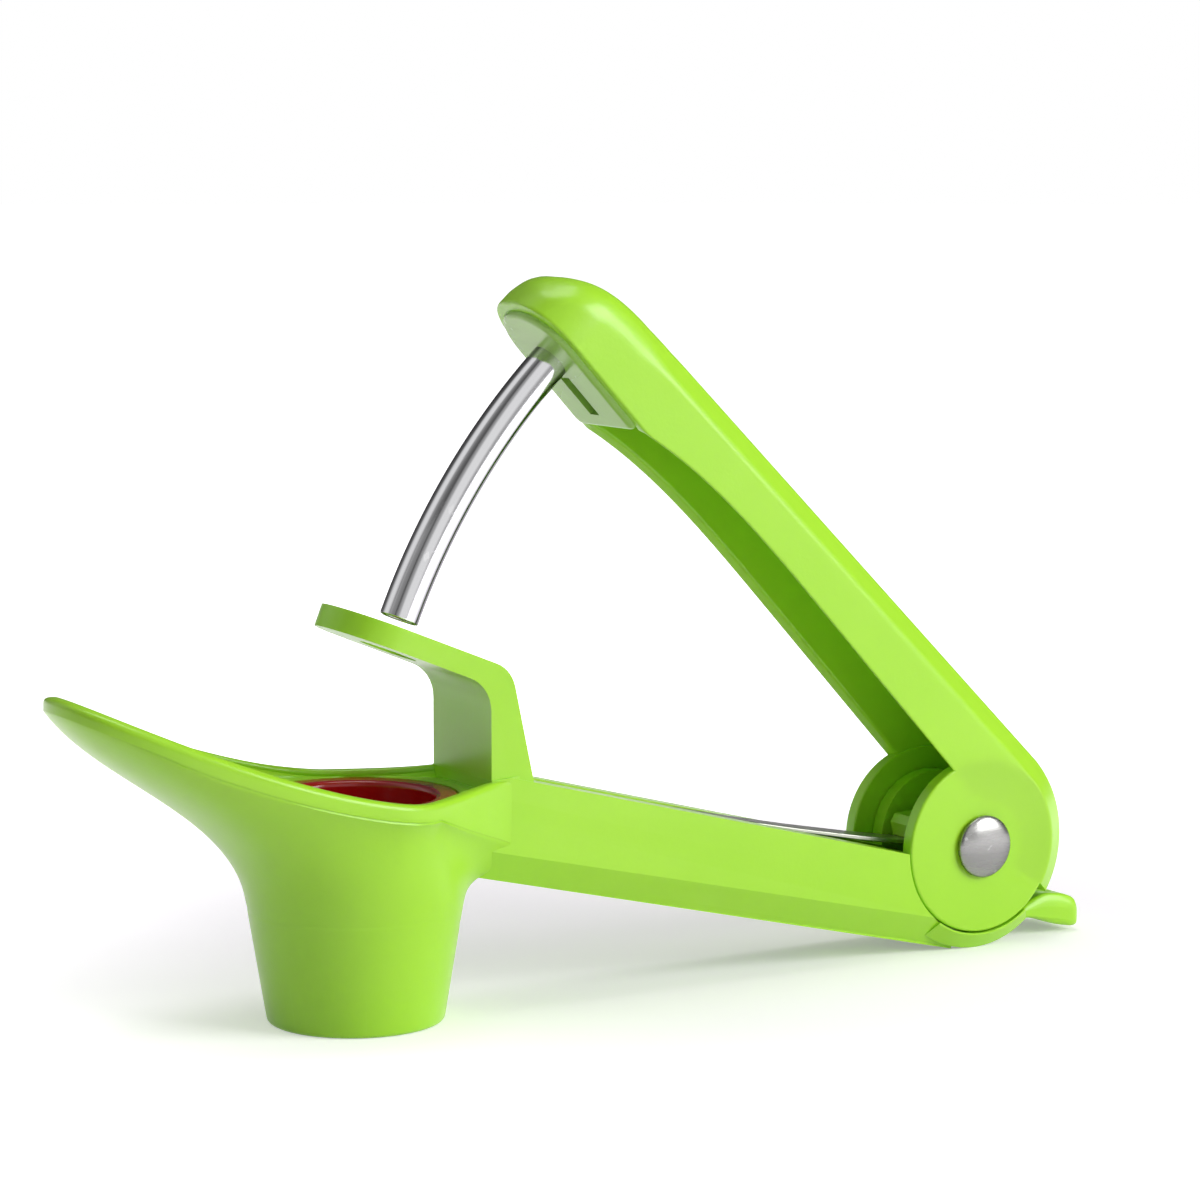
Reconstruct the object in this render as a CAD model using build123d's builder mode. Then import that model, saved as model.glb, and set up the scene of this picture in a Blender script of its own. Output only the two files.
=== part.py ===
from build123d import *
from math import cos, radians, sin, sqrt, tan
import os

# Hand-held cherry pitter. A spoon tray with a pit cup below it, a guide arch and the lower handle are one
# moulding. A lever hinged at the far end of the handle carries a curved hollow punch, whose arc is centred on
# the hinge, down through the guide, the soft liner and the cup. A flat steel spring in the handle's trough
# lifts the lever, and a slide under the hinge locks it shut for storage.
#
# Millimetres, +Z up. The tool stands on its cup and on the round underside of the hinge, with the lever open.
# The origin is the middle of the tool's footprint, on the table. The tray's tip points to -X.

# Overall layout
tray_reach = 50.7  # from the cup's axis to the tray's tip
hinge_reach = 114.8  # from the cup's axis to the hinge
paddle_reach = 24.5  # from the hinge to the end of the lock's paddle
handle_width = 19.6

# Pit cup
cup_base_radius = 13.95
cup_taper = 0.165  # growth of the outer radius per millimetre of height
cup_wall = 2.3
cup_flare_start = 18.0  # height where the cone begins to flare out into the tray
cup_flare = 16.8  # height of the flare
cup_flare_front = 6.2  # the flare's reach beyond the cone, towards the tray's tip
cup_flare_side = 1.4
deck_height = 35.8  # top of the flat land round the cup

# Liner in the mouth of the cup
liner_flange_radius = 16.2
liner_flange = 1.4
liner_bore_radius = 12.7
liner_wall = 1.3
liner_depth = 10.5
liner_throat_radius = 8.6
liner_floor = 1.4
lobe_radius = 4.0
lobe_offset = 8.5
lobe_count = 4
fit_gap = 0.15

# Tray
tray_half_width = 21.3
tray_widest = 45.5  # from the tip
tray_rim = 2.2
tray_lip = 1.0  # rim above the land
tray_depth = 9.0
tray_edge_depth = 3.0
tray_band = 3.4  # upright side below the rim
tray_floor_wall = 2.6
tray_tip_rise = 18.0
tray_end = 23.0  # where the waist reaches the handle's width

# Lower handle
handle_top_angle = 14.5
handle_bottom_angle = 13.0
handle_top_drop = 3.8  # top face below the line through the hinge
handle_chamfer_high = 4.6
handle_chamfer_wide = 2.9
trough_width = 6.8
trough_depth = 4.0
core_half_width = 5.0
core_roof = 3.0

# Guide arch
guide_angle = 22.0
guide_thickness = 3.6
guide_overhang = 12.5  # from the hole to the tip
arch_width = 19.0
arch_leg_inner = 19.3  # from the cup's axis
arch_leg_back = 26.9
arch_inner_bend = 6.0
arch_outer_bend = 5.5
arch_lean = 12.2  # back of the leg, off the vertical
guide_hole_long = 10.0
guide_hole_wide = 7.6

# Hinge
hinge_radius = 17.9  # outer radius of the round underside, and the hinge's height
cradle_wall = 2.8
cradle_chamfer = 2.5
cradle_chamfer_wide = 2.0
cradle_end_angle = -52.0
ear_thickness = 2.6
running_gap = 0.3
lug_radius = 11.0
lug_thickness = 2.7
pin_radius = 2.0
pin_running_gap = 0.05
pin_head_radius = 5.3
pin_head_rise = 1.7
pin_spigot_radius = 1.5
pin_spigot = 1.0
pin_head_edge = 0.4

# Lever
lever_open_angle = 47.0  # the head's underside, raised from the table's plane
lever_stroke = 24.6
lever_taper = 2.7
lever_back_radius = 19.0
lever_roof = 2.7
lever_chamfer_high = 4.1
lever_chamfer_wide = 2.9
nose_overhang = 14.0  # from the punch to the end of the head
lever_edge = 4.6  # lower edge of the side walls above the head's underside
lever_edge_run = 21.5  # length of the sweep from the head's underside up to that edge
lever_end_angle = -32.0
head_length = 30.2
nose_run = 26.0
nose_plan = 12.5
head_wall = 2.0

# Punch and its holder
punch_offset = 1.0  # the punch's arc round the hinge passes the cup's axis by this
punch_radius = 3.15
punch_wall = 0.5
punch_fit = 0.1  # round the punch, in its plate
punch_stations = 8
punch_tip_gap = 1.6
holder_depth = 6.4
holder_recess = 0.3
holder_seat = 4.6
holder_slot = 8.5
holder_slot_width = 2.8

# Flat spring
strip_width = 6.2
strip_thickness = 0.8
strip_recess = 0.5
strip_bend = 45.0  # from the cup's axis
strip_rise = 2.9
strip_end = 7.2  # short of the hinge
strip_pocket = 2.6

# Lever's centre web, with the nose on the spring and the rib that the lock holds
web_thickness = 5.8
hub_radius = 5.4
nose_radius = 1.6
nose_reach = 9.0
rib_inner = 9.9
rib_outer = 12.3
rib_angle = -103.0
rib_spread = 5.5  # half the angle of the rib's tip, seen from the hinge

# Lock
lock_travel = 4.7
lock_bar_half_width = 3.8
lock_bar = 1.7
lock_height = 3.4  # underside of the bar
lock_catch = 1.2
lock_engage = 1.1  # overlap of the catch and the rib, along the radius
paddle_half_width = 6.4
paddle_foot = 0.8
paddle_top = 7.4
paddle_root = 9.0  # from the hinge
paddle_round = 4.5

# Places worked out from the sizes above
overall_length = tray_reach + hinge_reach + paddle_reach
cup_x = tray_reach - overall_length / 2
hinge_x = cup_x + hinge_reach
hinge = Vector(hinge_x, 0, hinge_radius)
hinge_axis = Axis(hinge, (0, 1, 0))
half_width = handle_width / 2
ear_inner = half_width - ear_thickness
lug_outer = ear_inner - running_gap
lug_inner = lug_outer - lug_thickness
cradle_radius = hinge_radius - cradle_wall
ear_radius = cradle_radius - running_gap
punch_arc_radius = hinge_reach + punch_offset
guide_tip_reach = punch_arc_radius + guide_overhang
lever_length = punch_arc_radius + nose_overhang
stop_x = rib_outer * cos(radians(rib_angle - rib_spread)) - running_gap
catch_front = rib_outer * cos(radians(rib_angle + lever_stroke + rib_spread)) + running_gap
catch_back = catch_front + lock_catch
rim_height = deck_height + tray_lip
trough_half = trough_width / 2

# Side views from -Y: x along the tool and y up, from the foot of the cup's axis and from the hinge
side = Plane(origin=(cup_x, 0, 0), x_dir=(1, 0, 0), z_dir=(0, -1, 0))
hinge_side = Plane(origin=hinge, x_dir=(1, 0, 0), z_dir=(0, -1, 0))


def polar(angle, radius):
    """Point in the hinge's side view, at an angle from +X."""
    return (radius * cos(radians(angle)), radius * sin(radians(angle)))


def arm_side(angle):
    """Plane of an arm raised by angle from the hinge: x out along it, y on its upper side."""
    a = radians(angle)
    return Plane(origin=hinge, x_dir=(-cos(a), 0, sin(a)), z_dir=(0, 1, 0))


def arm_face(angle, height=0.0):
    """Plane through that arm: x out along it, z on its upper side, lifted by height."""
    a = radians(angle)
    lift = hinge + Vector(sin(a), 0, cos(a)) * height
    return Plane(origin=lift, x_dir=(-cos(a), 0, sin(a)), z_dir=(sin(a), 0, cos(a)))


def arm_section(angle, reach=0.0):
    """Plane across that arm: x sideways, y on its upper side."""
    a = radians(angle)
    out = Vector(-cos(a), 0, sin(a))
    return Plane(origin=hinge + out * reach, x_dir=(0, -1, 0), z_dir=tuple(out))


def arm_end(angle):
    """Plane that holds the hinge's axis and that arm: x sideways, y out along the arm."""
    a = radians(angle)
    return Plane(origin=hinge, x_dir=(0, 1, 0), z_dir=(sin(a), 0, cos(a)))


def arm_across(angle, reach):
    """Plane that holds the hinge's axis and that arm, centred at reach: x sideways, y out along the arm."""
    a = radians(angle)
    out = Vector(-cos(a), 0, sin(a))
    return Plane(origin=hinge + out * reach, x_dir=(0, 1, 0), z_dir=(sin(a), 0, cos(a)))


def handle_top(x):
    """Height of the handle's top face at x from the cup's axis."""
    a = radians(handle_top_angle)
    return hinge_radius - handle_top_drop / cos(a) + (hinge_reach - x) * tan(a)


def handle_bottom(x):
    """Height of the handle's underside, tangent to the round underside of the hinge."""
    a = radians(handle_bottom_angle)
    return hinge_radius - hinge_radius / cos(a) + (hinge_reach - x) * tan(a)


def cup_outer(z):
    """Outer radius of the cup at a height."""
    return cup_base_radius + cup_taper * z


def tray_half(x, inset=0.0):
    """Half width of the tray: a full round front, then a waist down to the handle's width."""
    widest = tray_widest - tray_reach
    if x <= widest:
        t = min(1.0, (widest - x) / (tray_widest - inset))
        return (tray_half_width - inset) * (1 - t**2.2) ** (1 / 2.2)
    t = min(1.0, (x - widest) / (tray_end - widest))
    return tray_half_width - inset + (half_width - 0.4 - tray_half_width) * t * t * (3 - 2 * t)


def tray_top(x):
    """Height of the rim: level round the cup, swept up to the tip and a little up to the handle."""
    if x < 4:
        return rim_height + tray_tip_rise * ((4 - x) / (4 + tray_reach)) ** 1.5
    return rim_height + 1.2 * min(1.0, (x - 4) / (tray_end - 4)) ** 2


def tray_under(x):
    """Depth of the tray's outside below its rim."""
    t = min(1.0, (x + tray_reach) / 16)
    return tray_edge_depth + (tray_depth - tray_edge_depth) * sin(radians(90 * t))


def tray_scoop(x):
    """Depth of the tray's hollow below its rim, down to the land round the cup."""
    return min(tray_under(x) - tray_floor_wall, tray_top(x) - deck_height)


def across(x):
    """Plane across the tray at its rim: x sideways, y up."""
    return Plane(origin=(cup_x + x, 0, tray_top(x)), x_dir=(0, 1, 0), z_dir=(1, 0, 0))


# Body: the tray's shell is lofted through sections, at these distances from its tip
outer_stations = [0.04, 1.6, 6.0, 14.0, 26.0, 38.0, 50.0, 60.0, 68.0, 75.7]
inner_stations = [2.5, 4.5, 10.0, 20.0, 33.0, 46.0, 55.0, 62.5, 69.1]

with BuildPart() as tray_outer:
    for station in outer_stations:
        x = station - tray_reach
        half = tray_half(x)
        band = tray_band * tray_under(x) / tray_depth
        with BuildSketch(across(x)):
            with BuildLine():
                Polyline((-half, -band), (-half, 0), (half, 0), (half, -band))
                ThreePointArc((half, -band), (0, -tray_under(x)), (-half, -band))
            make_face()
    loft(ruled=True)

with BuildPart() as tray_inner:
    for station in inner_stations:
        x = station - tray_reach
        half = tray_half(x, tray_rim)
        side_foot = -tray_lip / 2
        with BuildSketch(across(x)):
            with BuildLine():
                Polyline((-half, side_foot), (-half, 2 * tray_lip), (half, 2 * tray_lip), (half, side_foot))
                ThreePointArc((half, side_foot), (0, -tray_scoop(x)), (-half, side_foot))
            make_face()
    loft(ruled=True)

# The guide arch: a bent plate whose top is a plane through the hinge, with a round nose
guide_top_z = hinge_radius + tan(radians(guide_angle)) * hinge_reach
guide_drop = guide_thickness / cos(radians(guide_angle))


def guide_top(x):
    """Height of the guide plate's top at x from the cup's axis."""
    return guide_top_z - x * tan(radians(guide_angle))


leg_foot = deck_height - 3
leg_lean = tan(radians(arch_lean))
guide_slope = tan(radians(guide_angle))
corner_height = (guide_top(arch_leg_back) - guide_slope * leg_lean * (deck_height + 1.2)) / (
    1 - guide_slope * leg_lean
)
corner_x = arch_leg_back - leg_lean * (corner_height - deck_height - 1.2)

with BuildPart() as arch:
    with BuildSketch(side) as arch_outline:
        with BuildLine():
            Polyline(
                (arch_leg_back, leg_foot),
                (arch_leg_back, deck_height + 1.2),
                (corner_x, guide_top(corner_x)),
                (-guide_overhang - 4, guide_top(-guide_overhang - 4)),
                (-guide_overhang - 4, guide_top(-guide_overhang - 4) - guide_drop),
                (arch_leg_inner, guide_top(arch_leg_inner) - guide_drop),
                (arch_leg_inner, leg_foot),
                (arch_leg_back, leg_foot),
            )
        make_face()
        outer_corner = (corner_x, guide_top(corner_x), 0)
        inner_corner = (arch_leg_inner, guide_top(arch_leg_inner) - guide_drop, 0)
        for corner, bend in ((outer_corner, arch_outer_bend), (inner_corner, arch_inner_bend)):
            fillet(arch_outline.vertices().sort_by_distance(corner)[0], bend)
    extrude(amount=arch_width / 2, both=True)
    nose_centre = guide_tip_reach - arch_width / 2
    with BuildSketch(arm_face(guide_angle, -40)):
        with Locations((nose_centre / 2, 0)):
            Rectangle(nose_centre, arch_width + 1)
        with Locations((nose_centre, 0)):
            Circle(arch_width / 2)
    extrude(amount=60, mode=Mode.INTERSECT)
    with BuildSketch(arm_face(guide_angle, -10)):
        with Locations((punch_arc_radius, 0)):
            Ellipse(guide_hole_long / 2, guide_hole_wide / 2)
    extrude(amount=20, mode=Mode.SUBTRACT)

with BuildPart() as body:
    # Handle bar with chamfered lower edges, and the stop that the lever's rib rests on when open
    with BuildSketch(side):
        with BuildLine():
            Polyline(
                (15.0, handle_bottom(15.0)),
                (15.0, deck_height - 0.2),
                (22.4, deck_height - 0.2),
                (22.6, handle_top(22.6)),
                (hinge_reach - lug_radius, handle_top(hinge_reach - lug_radius)),
                (hinge_reach - lug_radius, hinge_radius - rib_inner),
                (hinge_reach + stop_x, hinge_radius - rib_inner),
                (hinge_reach + stop_x, handle_bottom(hinge_reach) + 0.5),
                (15.0, handle_bottom(15.0)),
            )
        make_face()
    extrude(amount=half_width, both=True)
    along = radians(handle_bottom_angle)
    with BuildSketch(
        Plane(origin=(cup_x + 10, 0, handle_bottom(10)), x_dir=(0, 1, 0), z_dir=(cos(along), 0, -sin(along)))
    ):
        for hand in (-1, 1):
            with BuildLine():
                Polyline(
                    (hand * (half_width - handle_chamfer_wide), 0),
                    (hand * half_width, handle_chamfer_high),
                    (hand * (half_width + 2), handle_chamfer_high),
                    (hand * (half_width + 2), -2),
                    (hand * (half_width - handle_chamfer_wide), -2),
                    (hand * (half_width - handle_chamfer_wide), 0),
                )
            make_face()
    extrude(amount=(hinge_reach - 14) / cos(along), mode=Mode.SUBTRACT)
    # Round cradle under the hinge
    with BuildSketch(arm_section(90 - cradle_end_angle)):
        with BuildLine():
            Polyline(
                (-half_width, cradle_radius),
                (-half_width, hinge_radius - cradle_chamfer),
                (cradle_chamfer_wide - half_width, hinge_radius),
                (half_width - cradle_chamfer_wide, hinge_radius),
                (half_width, hinge_radius - cradle_chamfer),
                (half_width, cradle_radius),
                (-half_width, cradle_radius),
            )
        make_face()
    revolve(axis=hinge_axis, revolution_arc=73)
    # Two lugs that hold the pin, on pedestals down to the cradle
    for hand in (-1, 1):
        with BuildSketch(Plane.XZ.offset(-hand * (lug_inner + lug_outer) / 2)):
            with Locations((hinge_x, hinge_radius)):
                Circle(lug_radius)
            with BuildLine():
                Polyline(
                    (hinge_x - lug_radius - 1, 2.0),
                    (hinge_x + 3.5, 1.2),
                    (hinge_x + 3.5, hinge_radius - 7.0),
                    (hinge_x - lug_radius - 1, hinge_radius - 1.0),
                    (hinge_x - lug_radius - 1, 2.0),
                )
            make_face()
        extrude(amount=lug_thickness / 2, both=True)
    # Tray, cup and arch
    add(tray_outer.part)
    with BuildSketch(Plane.XY):
        with Locations((cup_x, 0)):
            Circle(cup_base_radius)
    with BuildSketch(Plane.XY.offset(cup_flare_start)):
        with Locations((cup_x, 0)):
            Circle(cup_outer(cup_flare_start))
    loft()
    for share in (0, 0.45, 0.75, 0.92, 1):
        level = cup_flare_start + cup_flare * share
        front = cup_flare_front * share**2.4
        with BuildSketch(Plane.XY.offset(level)):
            with Locations((cup_x - front / 2, 0)):
                Ellipse(cup_outer(level) + front / 2, cup_outer(level) + cup_flare_side * share**2)
    loft(ruled=True)
    add(tray_inner.part, mode=Mode.SUBTRACT)
    add(arch.part)
    # Bore of the cup, with a ledge for the liner's flange
    ledge = deck_height - liner_flange - fit_gap
    with BuildSketch(Plane.XY.offset(-0.5)):
        with Locations((cup_x, 0)):
            Circle(cup_outer(-0.5) - cup_wall)
    with BuildSketch(Plane.XY.offset(ledge - 3.0)):
        with Locations((cup_x, 0)):
            Circle(cup_outer(ledge - 3.0) - cup_wall)
    loft(mode=Mode.SUBTRACT)
    with BuildSketch(Plane.XY.offset(ledge - 3.5)):
        with Locations((cup_x, 0)):
            Circle(liner_bore_radius + liner_wall + fit_gap)
    extrude(amount=5, mode=Mode.SUBTRACT)
    with BuildSketch(Plane.XY.offset(ledge)):
        with Locations((cup_x, 0)):
            Circle(liner_flange_radius + fit_gap)
    extrude(amount=4, mode=Mode.SUBTRACT)
    # Recesses for the lever's ears
    for hand in (-1, 1):
        with BuildSketch(Plane.XZ.offset(-hand * (lug_outer + 6))):
            with Locations((hinge_x, hinge_radius)):
                Circle(cradle_radius)
        extrude(amount=6, both=True, mode=Mode.SUBTRACT)
    # Trough for the spring, with a pocket under the foot of the arch
    trough_front = arch_leg_back - strip_pocket
    with BuildSketch(side):
        with BuildLine():
            drop = trough_depth / cos(radians(handle_top_angle))
            Polyline(
                (arch_leg_back, handle_top(arch_leg_back) + 0.6),
                (arch_leg_back, handle_top(arch_leg_back) - strip_recess + running_gap),
                (trough_front, handle_top(trough_front) - strip_recess + running_gap),
                (trough_front, handle_top(trough_front) - strip_recess - strip_thickness - 2 * running_gap),
                (arch_leg_back, handle_top(arch_leg_back) - strip_recess - strip_thickness - 2 * running_gap),
                (arch_leg_back + 14, handle_top(arch_leg_back + 14) - drop),
                (hinge_reach - hub_radius, handle_top(hinge_reach - hub_radius) - drop),
                (hinge_reach - hub_radius, hinge_radius + 9),
                (hinge_reach - 16, hinge_radius + 9),
                (arch_leg_back + 6, handle_top(arch_leg_back + 6) + 3),
                (arch_leg_back, handle_top(arch_leg_back) + 0.6),
            )
        make_face()
    extrude(amount=trough_half, both=True, mode=Mode.SUBTRACT)
    # Room for the lever's centre web between the lugs, and for its rib against the stop
    with BuildSketch(hinge_side):
        Circle(rib_inner)
        with BuildLine():
            Polyline(
                (stop_x, -5),
                (stop_x, -rib_outer - running_gap),
                (cradle_radius, -rib_outer - running_gap),
                (cradle_radius, -5),
                (stop_x, -5),
            )
        make_face()
    extrude(amount=lug_inner, both=True, mode=Mode.SUBTRACT)
    # Slot for the lock
    with BuildSketch(hinge_side):
        with Locations((catch_front - lock_travel - 3 * running_gap, lock_height - running_gap - hinge_radius)):
            Rectangle(20, 9, align=(Align.MIN, Align.MIN))
    extrude(amount=lock_bar_half_width + running_gap, both=True, mode=Mode.SUBTRACT)
    with BuildSketch(hinge_side):
        with Locations((3.8, lock_height - running_gap - hinge_radius)):
            Rectangle(20, 9, align=(Align.MIN, Align.MIN))
        with Locations((7.6, -hinge_radius)):
            Rectangle(20, 12, align=(Align.MIN, Align.MIN))
    extrude(amount=paddle_half_width + running_gap, both=True, mode=Mode.SUBTRACT)
    # Core under the handle
    core_front, core_back = arch_leg_back + 3.0, hinge_reach - 27.0
    with BuildSketch(side):
        with BuildLine():
            drop = (trough_depth + core_roof) / cos(radians(handle_top_angle))
            Polyline(
                (core_front, handle_bottom(core_front) - 3),
                (core_front, handle_top(core_front) - drop),
                (core_back, handle_top(core_back) - drop),
                (core_back, handle_bottom(core_back) - 3),
                (core_front, handle_bottom(core_front) - 3),
            )
        make_face()
    extrude(amount=core_half_width, both=True, mode=Mode.SUBTRACT)
    # Bore for the pin
    with BuildSketch(hinge_side):
        Circle(pin_radius)
    extrude(amount=half_width, both=True, mode=Mode.SUBTRACT)

# Lever: a channel section swept along its top line and round the hinge, with a head and two ears
top_angle = lever_open_angle - lever_taper
roof_inner = lever_back_radius - lever_roof
chamfer_foot = lever_back_radius - lever_chamfer_high
flat_half = half_width - lever_chamfer_wide
top_at_nose = lever_length - nose_run
nose_height = lever_back_radius / cos(radians(lever_taper)) - top_at_nose * tan(radians(lever_taper))


def lever_ring(low):
    """Channel section of the lever: roof, chamfers and side walls down to low."""
    Polyline(
        (-half_width, low),
        (-half_width, chamfer_foot),
        (-flat_half, lever_back_radius),
        (flat_half, lever_back_radius),
        (half_width, chamfer_foot),
        (half_width, low),
        (ear_inner, low),
        (ear_inner, roof_inner),
        (-ear_inner, roof_inner),
        (-ear_inner, low),
        (-half_width, low),
    )


def head_curve(inset, foot):
    """Side outline of the head: flat underside, rounded nose and the top line."""
    Polyline((lever_length - inset, 0), (lever_length - inset, foot), (head_front, foot))
    Line((head_front, foot), (head_front, nose_height - inset + 0.5))
    Line((head_front, nose_height - inset + 0.5), (top_at_nose, nose_height - inset))
    EllipticalCenterArc((top_at_nose, 0), nose_run - inset, nose_height - inset, start_angle=0, arc_size=90)


def nose_outline(inset):
    """Outline of the head from below: full width, then a round nose."""
    centre = lever_length - nose_plan
    with Locations((centre / 2, 0)):
        Rectangle(centre, handle_width - 2 * inset)
    with Locations((centre, 0)):
        Ellipse(nose_plan - inset, half_width - inset)


head_front = lever_length - head_length

with BuildPart() as head_outer:
    with BuildSketch(arm_side(lever_open_angle)):
        with BuildLine():
            head_curve(0, -0.001)
        make_face()
    extrude(amount=half_width, both=True)
    with BuildSketch(arm_face(lever_open_angle, -2)):
        nose_outline(0)
    extrude(amount=30, mode=Mode.INTERSECT)
    with BuildSketch(arm_section(top_angle, 80)):
        with BuildLine():
            Polyline(
                (-half_width, -10),
                (-half_width, chamfer_foot),
                (-flat_half, lever_back_radius),
                (flat_half, lever_back_radius),
                (half_width, chamfer_foot),
                (half_width, -10),
                (-half_width, -10),
            )
        make_face()
    extrude(amount=60, mode=Mode.INTERSECT)

with BuildPart() as head_inner:
    with BuildSketch(arm_side(lever_open_angle)):
        with BuildLine():
            head_curve(head_wall, -1)
        make_face()
    extrude(amount=half_width, both=True)
    with BuildSketch(arm_face(lever_open_angle, -2)):
        nose_outline(head_wall)
    extrude(amount=30, mode=Mode.INTERSECT)

with BuildPart() as lever:
    with BuildSketch(arm_section(top_angle)):
        with BuildLine():
            lever_ring(-4)
        make_face()
    extrude(amount=head_front + 2)
    # Lower edge of the side walls, swept up from the head's underside
    with BuildSketch(arm_side(lever_open_angle)):
        with BuildLine():
            Polyline(
                (head_front - lever_edge_run, lever_edge),
                (ear_radius + 2.2, lever_edge),
                (ear_radius, -1.0),
                (-2, -1.0),
                (-2, 26),
                (lever_length, 26),
                (lever_length, 0),
                (head_front, 0),
            )
            Spline(
                (head_front, 0),
                (head_front - lever_edge_run * 0.4, lever_edge * 0.56),
                (head_front - lever_edge_run, lever_edge),
                tangents=((-1, 0.45), (-1, 0)),
            )
        make_face()
    extrude(amount=half_width + 1, both=True, mode=Mode.INTERSECT)
    add(head_outer.part)
    add(head_inner.part, mode=Mode.SUBTRACT)
    # Back of the lever, round the hinge
    with BuildSketch(arm_section(top_angle)):
        with BuildLine():
            lever_ring(ear_radius - 1.5)
        make_face()
    revolve(axis=hinge_axis, revolution_arc=90 - top_angle - lever_end_angle)
    # Ears
    for hand in (-1, 1):
        with BuildSketch(Plane.XZ.offset(-hand * (half_width - ear_thickness / 2))):
            with Locations((hinge_x, hinge_radius)):
                Circle(ear_radius)
        extrude(amount=ear_thickness / 2, both=True)
    # Centre web: hub round the pin, nose on the spring and the rib for the lock
    nose_angle = 162.5
    with BuildSketch(hinge_side):
        Circle(hub_radius)
        with Locations(polar(nose_angle, nose_reach)):
            Circle(nose_radius)
        with BuildLine():
            Polyline(
                polar(nose_angle - 90, 1.0),
                (polar(nose_angle, nose_reach)[0] - nose_radius, polar(nose_angle, nose_reach)[1]),
                polar(90 + 42, roof_inner + 2.5),
                polar(90 - top_angle, roof_inner + 0.6),
                polar(20, hub_radius),
                polar(nose_angle - 90, 1.0),
            )
        make_face()
        with BuildLine():
            Polyline(
                polar(rib_angle - 2 * rib_spread, 3.0),
                polar(rib_angle - rib_spread, rib_outer),
                polar(rib_angle + rib_spread, rib_outer),
                polar(rib_angle + 2 * rib_spread, 3.0),
                polar(rib_angle - 2 * rib_spread, 3.0),
            )
        make_face()
    extrude(amount=web_thickness / 2, both=True)
    with BuildSketch(hinge_side):
        Circle(pin_radius + pin_running_gap)
    extrude(amount=half_width + 2, both=True, mode=Mode.SUBTRACT)

# Punch: a hollow arc round the hinge, whose top end is held in the plate
tip_angle = guide_angle + punch_tip_gap / radians(1) / punch_arc_radius
punch_top_angle = lever_open_angle + holder_seat / radians(1) / punch_arc_radius
with BuildPart() as punch_tube:
    for radius, mode in ((punch_radius, Mode.ADD), (punch_radius - punch_wall, Mode.SUBTRACT)):
        for station in range(punch_stations):
            share = station / (punch_stations - 1)
            with BuildSketch(arm_across(tip_angle + (punch_top_angle - tip_angle) * share, punch_arc_radius)):
                Circle(radius)
        loft(ruled=True, mode=mode)

with BuildPart() as punch_holder:
    with BuildSketch(arm_side(lever_open_angle)):
        with BuildLine():
            head_curve(head_wall + fit_gap, -1)
        make_face()
    extrude(amount=half_width, both=True)
    with BuildSketch(arm_face(lever_open_angle, holder_recess)):
        nose_outline(head_wall + fit_gap)
    extrude(amount=holder_depth, mode=Mode.INTERSECT)
    with BuildSketch(arm_side(lever_open_angle)):
        with Locations((head_front + 1.0, -1)):
            Rectangle(60, 30, align=(Align.MIN, Align.MIN))
    extrude(amount=half_width, both=True, mode=Mode.INTERSECT)
    with BuildSketch(arm_face(lever_open_angle, holder_recess - 0.5)):
        with Locations((punch_arc_radius - punch_radius - 0.6 - holder_slot / 2, 0)):
            SlotOverall(holder_slot, holder_slot_width)
    extrude(amount=2.0, mode=Mode.SUBTRACT)
    with BuildSketch(arm_end(lever_open_angle - 5)):
        with Locations((0, punch_arc_radius)):
            Circle(punch_radius + punch_fit)
    revolve(axis=hinge_axis, revolution_arc=punch_top_angle + 0.02 - lever_open_angle + 5, mode=Mode.SUBTRACT)

# Liner: a flanged soft bowl with lobes that hold the fruit over the hole
with BuildPart() as cup_liner:
    flange_top = deck_height
    flange_foot = flange_top - liner_flange
    bowl_foot = flange_top - liner_depth
    with BuildSketch(Plane(origin=(cup_x, 0, 0), x_dir=(1, 0, 0), z_dir=(0, -1, 0))):
        with BuildLine():
            Polyline(
                (liner_bore_radius, flange_top),
                (liner_flange_radius, flange_top),
                (liner_flange_radius, flange_foot),
                (liner_bore_radius + liner_wall, flange_foot),
                (liner_bore_radius + liner_wall, bowl_foot),
                (liner_throat_radius, bowl_foot),
                (liner_throat_radius, bowl_foot + liner_floor),
                (liner_bore_radius, bowl_foot + 3 * liner_floor),
                (liner_bore_radius, flange_top),
            )
        make_face()
    revolve(axis=Axis((cup_x, 0, 0), (0, 0, 1)))
    with BuildSketch(Plane.XY.offset(bowl_foot)):
        with Locations((cup_x, 0)):
            Circle(liner_throat_radius + 0.6)
            Circle(liner_throat_radius, mode=Mode.SUBTRACT)
            with PolarLocations(lobe_offset, lobe_count, start_angle=45):
                Circle(lobe_radius)
            Circle(liner_throat_radius + 0.6, mode=Mode.INTERSECT)
    extrude(amount=liner_floor + 0.4)

# Pin: shaft with a domed head on the near ear and a spigot for its cap
pin_face = half_width + running_gap
dome_steps = (1.0, 0.55)


def head_profile(foot, out):
    """Half section of a riveted head at (radius, height along Y): a short edge, then a dome cut off flat."""
    rises = [pin_head_edge + pin_head_rise * sqrt(1 - step**2) for step in dome_steps]
    dome = [(pin_head_radius * step, out * rise) for step, rise in zip(dome_steps, rises)]
    Polyline((0, foot), (pin_head_radius, foot), *dome, (0, dome[-1][1]), (0, foot))


with BuildPart() as hinge_pin:
    with BuildSketch(Plane(origin=hinge + Vector(0, -pin_face, 0), x_dir=(1, 0, 0), z_dir=(0, 0, 1))):
        with BuildLine():
            head_profile(0, -1)
        make_face()
    revolve(axis=hinge_axis)
    with BuildSketch(Plane(origin=hinge + Vector(0, -pin_face, 0), x_dir=(1, 0, 0), z_dir=(0, 1, 0))):
        Circle(pin_radius)
    extrude(amount=2 * pin_face)
    with BuildSketch(Plane(origin=hinge, x_dir=(1, 0, 0), z_dir=(0, 1, 0))):
        Circle(pin_spigot_radius)
    extrude(amount=pin_face + pin_spigot)

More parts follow.
